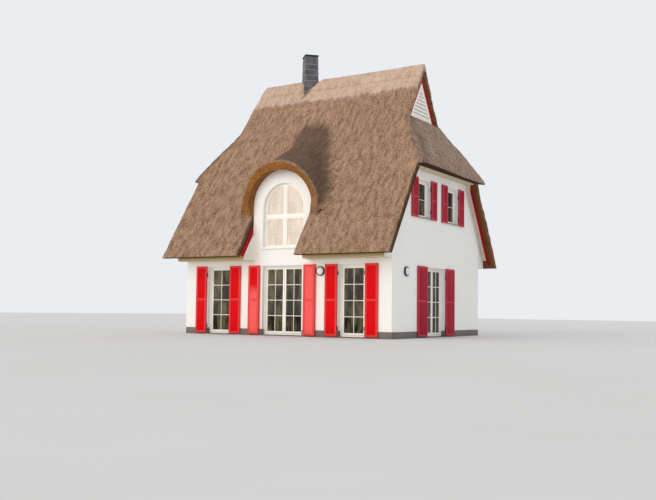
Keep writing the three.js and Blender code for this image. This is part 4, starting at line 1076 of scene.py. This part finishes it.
def arch_window():
    """The bay's arched window: fixed frame, mullion and transom, four casements with cross bars, sill."""
    parts = [carried(arch_path(0.7897, 2.8603, -0.7897, 0.7897), moulded(0.055, *FIXED_Y, 0.008), True)]
    post = [(-0.045, 0.122), (-0.03, 0.116), (0.03, 0.116), (0.045, 0.122), (0.045, 0.188), (-0.045, 0.188)]
    parts.append(carried([(0, 2.9), (0, 4.92)], post))
    parts.append(carried([(-0.75, 3.88), (0.75, 3.88)], [(across, deep + 0.0015) for across, deep in post]))
    for way in (-1, 1):
        x0, x1 = sorted([way * 0.04, way * 0.742])
        parts += sash(x0, x1, 2.905, 3.84, 0.045, 2, 2, SASH_Y)
        parts.append(carried(arch_path(0.742, 3.92, x0, x1), moulded(0.045, *SASH_Y, 0.008), True))
        x = way * 0.385
        top = SPRING + math.sqrt(0.7 ** 2 - x ** 2)
        parts.append(carried([(x, 3.95), (x, top)], bar_outline(0.132, 0.178)))
        far = math.sqrt(0.7 ** 2 - 0.19 ** 2)
        parts.append(carried([(way * 0.08, 4.37), (way * far, 4.37)], bar_outline(0.133, 0.177)))
    make("arch_window_wood", parts, white_gloss, "front", stands_for=("arch_window",))
    rise = 0.76 * np.sin(np.linspace(0, 1.5, 30)[1:])
    z = np.concatenate([np.linspace(2.89, SPRING, 30), SPRING + rise])
    half = np.where(z > SPRING, np.sqrt(np.maximum(0.76 ** 2 - (z - SPRING) ** 2, 0)), 0.76)
    grid = joined(half[:, None] * np.linspace(-1, 1, 13), 0.151, z[:, None])
    grid += 0.0004 * lumps(grid, 0.25)[..., None] * np.array([0, 1, 0])
    sheet = thick_sheet(grid, grid + np.array([0, 0.008, 0]))[:3]
    make("arch_window_glass", [sheet], sky_painted_bay_glass, "front")
    profile = [
        (2.82, -0.056), (2.824, -0.06), (2.868, -0.06), (2.874, -0.054), (2.88, 0.125), (2.862, 0.125),
        (2.859, -0.0003), (2.82, -0.0003),
    ]
    sill = carried([(-0.8397, 0), (0.8397, 0)], profile)
    make("arch_window_sill", [sill], white_gloss, "front")


def framed(bars, panels):
    """The parts of a framed leaf, with a value for each point: 1 on the frame and 0 on the panels."""
    values = [np.ones(len(bar[0])) for bar in bars] + [np.zeros(len(panel[0])) for panel in panels]
    return bars + panels, {"frame": np.concatenate(values)}


def shutter(name, wall, hinge_x, way, width, z0, z1, body):
    """A shutter beside its hinge line: mitred frame with a middle rail, a sunk panel with a raised field on
    both faces, and two hinge barrels with their plates. way is -1 where it lies to the left of the line."""
    near = hinge_x + way * 0.02
    x0, x1 = sorted([near, near + way * width])
    y0, y1 = -0.055, -0.015
    middle = (z0 + z1) / 2
    rail = [(-0.035, y0 + 0.006), (-0.029, y0), (0.029, y0), (0.035, y0 + 0.006)]
    rail += [(0.035, y1 - 0.006), (0.029, y1), (-0.029, y1), (-0.035, y1 - 0.006)]
    bars = [carried(rectangle(x0, x1, z0, z1), moulded(0.07, y0, y1, 0.006), True)]
    bars.append(carried([(x0 + 0.066, middle), (x1 - 0.066, middle)], rail))
    panels = []
    steps = [(0.03, -0.045), (0.006, -0.038), (-0.005, -0.038)]
    steps += [(-0.005, -0.032), (0.006, -0.032), (0.03, -0.025)]
    for low, high in [(z0 + 0.07, middle - 0.035), (middle + 0.035, z1 - 0.07)]:
        rings = []
        for inset, y in steps:
            field = rectangle(x0 + 0.07 + inset, x1 - 0.07 - inset, low + inset, high - inset)
            rings.append([(x, y, z) for x, z in field])
        panels.append(lofted(rings))
    parts, values = framed(bars, panels)
    # Shutters on the right gable take the red paint painted in shade
    paint = shaded_red_gloss if wall == "right" else red_gloss
    make(name + "_wood", parts, paint, wall, body, (name,), values, 20)
    iron = []
    plate = sorted([hinge_x, hinge_x + way * 0.0195])
    for z in (z0 + 0.22, z1 - 0.31):
        iron.append(barrel(hinge_x, -0.035, 0.011, z, z + 0.09))
        iron.append(board(*plate, -0.058, -0.035, z + 0.027, z + 0.063))
    make(name + "_iron", iron, black_iron, wall, body)


def folded_shutter(name, way):
    """The middle door's shutter folded back in two framed leaves, one lying on the other, with their
    barrels. A sheen of reflected light is painted on them, the panels most, but not on the upper third of
    the left one's panel."""
    near = way * 0.87
    x0, x1 = sorted([near, near + way * 0.43])
    bars, panels = [], []
    for y0, y1 in [(-0.0843, -0.0445), (-0.0403, -0.0003)]:
        bars.append(carried(rectangle(x0, x1, *SHUTTER_Z), moulded(0.07, y0, y1, 0.006), True))
        rail = [(-0.035, y0), (0.035, y0), (0.035, y1), (-0.035, y1)]
        bars.append(carried([(x0 + 0.066, 1.1625), (x1 - 0.066, 1.1625)], rail))
        y = (y0 + y1) / 2
        panels.append(board(x0 + 0.064, x1 - 0.064, y - 0.009, y + 0.009, 0.105, 2.22, 0.001))
    parts, values = framed(bars, panels)
    # Painted sheen: on the right one's panels, on the left one's panel below its upper third, faint on the
    # frames
    height = np.concatenate([part[0] for part in parts])[:, 2]
    on_panel = 1.66 - height if way < 0 else 1
    values["painted_sheen"] = np.where(values["frame"] > 0.5, 0.11, on_panel)
    make(name + "_wood", parts, red_gloss, "front", "house", (name,), values, 20)
    outer = x1 if way > 0 else x0
    iron = [barrel(outer - way * 0.003, -0.0424, 0.009, z, z + 0.09) for z in (0.26, 1.975)]
    make(name + "_iron", iron, black_iron, "front")


for doorway in DOORWAYS:
    door_leaves(*doorway)
unseen = ["rear_frame_a", "rear_frame_b", "rear_frame_c", "left_gable_frame"]
for label, doorway in zip(unseen, DOORWAYS[4:]):
    side, centre, width = doorway[:3]
    edge = rectangle(centre - width / 2, centre + width / 2, 0.03, 2.27)
    make(label, [carried(edge, moulded(0.05, *FIXED_Y, 0.006), True)], white_gloss, side)
for label, centre in WINDOWS.items():
    gable_window(label, "right", centre)
    gable_window("left_" + label, "left", -centre)
arch_window()
for label, ends, side, centre, width, heights in SHUTTERS:
    for end, way in zip(ends, (-1, 1)):
        rider = f"{label}_{end}_shutter" if "door" in label else "house"
        hinge = centre + way * (width / 2 + 0.015)
        shutter(f"{label}_shutter_{end}", side, hinge, way, width / 2 - 0.01, *heights, rider)
folded_shutter("middle_door_shutter_left", -1)
folded_shutter("middle_door_shutter_right", 1)


# Chimney, gablets and lamps

SQUARE = np.array([[0, -1], [1, 0], [0, 1], [-1, 0]])


def round_stack(places, half, z):
    """A level ring round the axis of the stack, half its width across the corners from it."""
    return joined(STACK_X + places[:, 0] * half, places[:, 1] * half, z)


def chimney_slates():
    """Slates hung in courses on the four cornerwise faces. Up each course the face leans out from the board
    to the slate's thick foot; along a face the tone changes from slate to slate and a groove parts them."""
    courses = np.append(np.arange(8.0, 10.0, 0.205), 10.165)
    steps = 48
    rings, tones, feet = [], [], []
    rng = np.random.default_rng(5)
    share = np.linspace(0, 1, steps // 4, endpoint=False)[:, None]
    square = np.vstack([SQUARE[k] + (SQUARE[(k + 1) % 4] - SQUARE[k]) * share for k in range(4)])
    for row, (z0, z1) in enumerate(zip(courses[:-1], courses[1:])):
        groove = (np.arange(steps) % 3 == (row % 2)) * 0.003
        tone = np.roll(np.repeat(rng.uniform(0, 1, steps // 3), 3), row % 2)
        profile = [
            (z0 - 0.003, -0.008, 0), (z0, 0, 1), (z0 + 0.018, 0.002, 1), (z0 + 0.04, 0.001, 0),
            (z1 - 0.004, -0.009, 0),
        ]
        for z, proud, foot in profile:
            half = np.interp(z, [8.3, 10.17], [0.4, 0.338]) + proud - groove
            rings.append(round_stack(square, half, max(z, 7.99)))
            tones.append(tone)
            feet.append(np.full(steps, foot))
    maps = {"tone": np.concatenate(tones), "foot": np.concatenate(feet)}
    stack = ("chimney_stack",)
    make("chimney_slates", [lofted(rings)], slates, stands_for=stack, maps=maps, crease=25)


def chimney_cap():
    """The cap: square rings that swell to a rounded nose over a drip and fall slightly to the middle."""
    outline = [
        (0.30, 10.1703), (0.352, 10.1703), (0.352, 10.176), (0.361, 10.178), (0.365, 10.19),
        (0.363, 10.212), (0.352, 10.221), (0.2, 10.2265), (0.05, 10.23),
    ]
    cap = lofted([round_stack(SQUARE, half, z) for half, z in outline])
    make("chimney_cap_lead", [cap], lead_sheet, stands_for=("chimney_cap",))


def gablet(wall, face):
    """The louvred gablet: a broad triangular frame, slats sloping outwards across it, each as long as the
    triangle is wide at its height, a back board, and red boards along both slopes."""
    name = "gablet_" + wall
    under = APEX - THATCH / math.cos(PITCH)
    foot = 7.303
    half = (under - foot) / RISE
    corners = [(-half, foot), (half, foot), (0, under - 0.001)]
    tip, sill = under - 0.1 / math.cos(PITCH), foot + 0.03
    reach = (tip - sill) / RISE
    edge = [(0, -0.004), (0.115, -0.004), (0.121, 0.002), (0.121, 0.05), (0, 0.05)]
    white = [carried([(-reach, sill), (reach, sill), (0, tip)], edge, True)]
    rail = [(0, -0.003), (0.06, -0.003), (0.064, 0.002), (0.064, 0.05), (0, 0.05)]
    white.append(carried([(0.2 - reach, sill + 0.1), (reach - 0.2, sill + 0.1)], rail))
    back = [[(x * 0.97, y, foot + 0.01 + (z - foot) * 0.96) for x, z in corners] for y in (0.045, 0.06)]
    white.append(lofted(back))
    slat = [(-0.045, 0.0), (-0.03, -0.003), (0.07, 0.036), (0.06, 0.045), (-0.043, 0.006)]
    for z in np.arange(foot + 0.28, tip - 0.36, 0.125):
        reach = (tip - z) / RISE - 0.1
        white.append(carried([(-reach, z), (reach, z)], slat))
    strip = [(0.0, -0.025), (0.112, -0.025), (0.115, -0.022), (0.115, 0.0), (0.0, 0.0)]
    red = [carried([(half, foot), (0, under - 0.001), (-half, foot)], strip)]
    looks = [
        ("_louvres", white, white_gloss, "white_paint", (name,)),
        ("_boards", red, shaded_board_red, "red_paint", ()),
    ]
    for suffix, parts, paint, slot, node in looks:
        moved = [(points + np.array([0, HALF_W - face, 0]), *faces) for points, *faces in parts]
        make(name + suffix, moved, paint, wall, stands_for=node, crease=20)


def lamp(name, wall, along):
    """A bulkhead lamp: a turned dark ring with a rounded lip round a domed disc of opal glass."""
    ring = [
        (0.06, -0.0005), (0.145, -0.0005), (0.15, -0.006), (0.15, -0.045), (0.147, -0.056),
        (0.138, -0.062), (0.126, -0.06), (0.121, -0.05), (0.121, -0.03), (0.06, -0.03),
    ]
    dome = [
        (0.02, -0.032), (0.122, -0.032), (0.122, -0.05), (0.115, -0.066),
        (0.1, -0.083), (0.075, -0.098), (0.045, -0.107), (0.015, -0.1095),
    ]
    looks = [("_ring", ring, lead_sheet, "lead", ()), ("_glass", dome, opal_glass, "opal", (name,))]
    for suffix, profile, look, slot, node in looks:
        points, *faces = turned(profile)
        placed = (points + np.array([along, 0, 2.07]), *faces)
        make(name + suffix, [placed], look, wall, stands_for=node)


chimney_slates()
chimney_cap()
gablet("right", 3.31)
gablet("left", 3.19)
lamp("front_lamp", "front", 1.48)
lamp("gable_lamp", "right", -2.47)


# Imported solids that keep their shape

finishes = {
    "ground_floor": cement, "upper_floor": floor_boards, "soffit_right": boarding, "soffit_left": boarding,
    "back_glazing": pane_glass, "left_glazing_ground": pane_glass, "left_glazing_upper": pane_glass,
}
for label, solid in nodes.items():
    look = finishes.get(label)
    if look is None:
        # Boards take the red paint painted in shade
        look = limewash if "wall" in label else shaded_board_red if "board" in label else white_gloss
    solid.data.materials.clear()
    solid.data.materials.append(look)


# Camera, floor and light


def eye():
    """The camera at the photograph's place, with its yaw, pitch, roll and focal length as measured."""
    yaw, pitch, roll = (math.radians(a) for a in (31.719, 4.003, 0.714))
    ahead = Vector((-math.sin(yaw) * math.cos(pitch), math.cos(yaw) * math.cos(pitch), math.sin(pitch)))
    right = Vector((math.cos(yaw), math.sin(yaw), 0))
    up = right.cross(ahead)
    across = math.cos(roll) * right + math.sin(roll) * up
    over = -math.sin(roll) * right + math.cos(roll) * up
    data = bpy.data.cameras.new("camera")
    focal_pixels, picture_pixels = 869.512, 656
    data.sensor_width = 36
    data.lens = focal_pixels / picture_pixels * data.sensor_width
    data.clip_end = 400
    camera = bpy.data.objects.new("camera", data)
    bpy.context.scene.collection.objects.link(camera)
    aim = Matrix((across, over, -ahead)).transposed().to_4x4()
    camera.matrix_world = Matrix.Translation((16.048, -26.557, 0.823)) @ aim
    bpy.context.scene.camera = camera


def floor():
    """A wide pale floor, faintly clouded."""
    material, tree, shader, place = finish("pale_floor", roughness=0.85, specular_ior_level=0.2)
    cloud = use(tree, PATCHES, place, 9.0)[0]
    colour(tree, shader, blend(tree, cloud, shade(214, 213, 210), shade(219, 218, 216)))
    line = np.linspace(-90, 90, 19)
    x, y = np.meshgrid(line, line, indexing="ij")
    ids = np.arange(361).reshape(19, 19)
    quads = joined(ids[:-1, :-1], ids[1:, :-1], ids[1:, 1:], ids[:-1, 1:]).reshape(-1, 4)
    mesh = bpy.data.meshes.new("floor")
    mesh.from_pydata(joined(x, y, -0.002).reshape(-1, 3).tolist(), [], quads.tolist())
    mesh.materials.append(material)
    ground = bpy.data.objects.new("floor", mesh)
    bpy.context.scene.collection.objects.link(ground)


def light():
    """Pale light from all round and one broad warm lamp, low at the front left."""
    world = bpy.data.worlds.new("studio")
    bpy.context.scene.world = world
    world.use_nodes = True
    tint, strength = world.node_tree.nodes["Background"].inputs[:2]
    tint.default_value, strength.default_value = (0.88, 0.9, 0.935, 1), 0.94
    data = bpy.data.lights.new("key", "SUN")
    data.energy = 1.3
    data.angle = math.radians(50)
    data.color = (1, 0.89, 0.74)
    key = bpy.data.objects.new("key", data)
    bpy.context.scene.collection.objects.link(key)
    key.rotation_mode = "QUATERNION"
    key.rotation_quaternion = Vector((0.32, 0.9, -0.24)).to_track_quat("-Z", "Y")


eye()
floor()
light()
bpy.context.scene.view_settings.view_transform = "Standard"
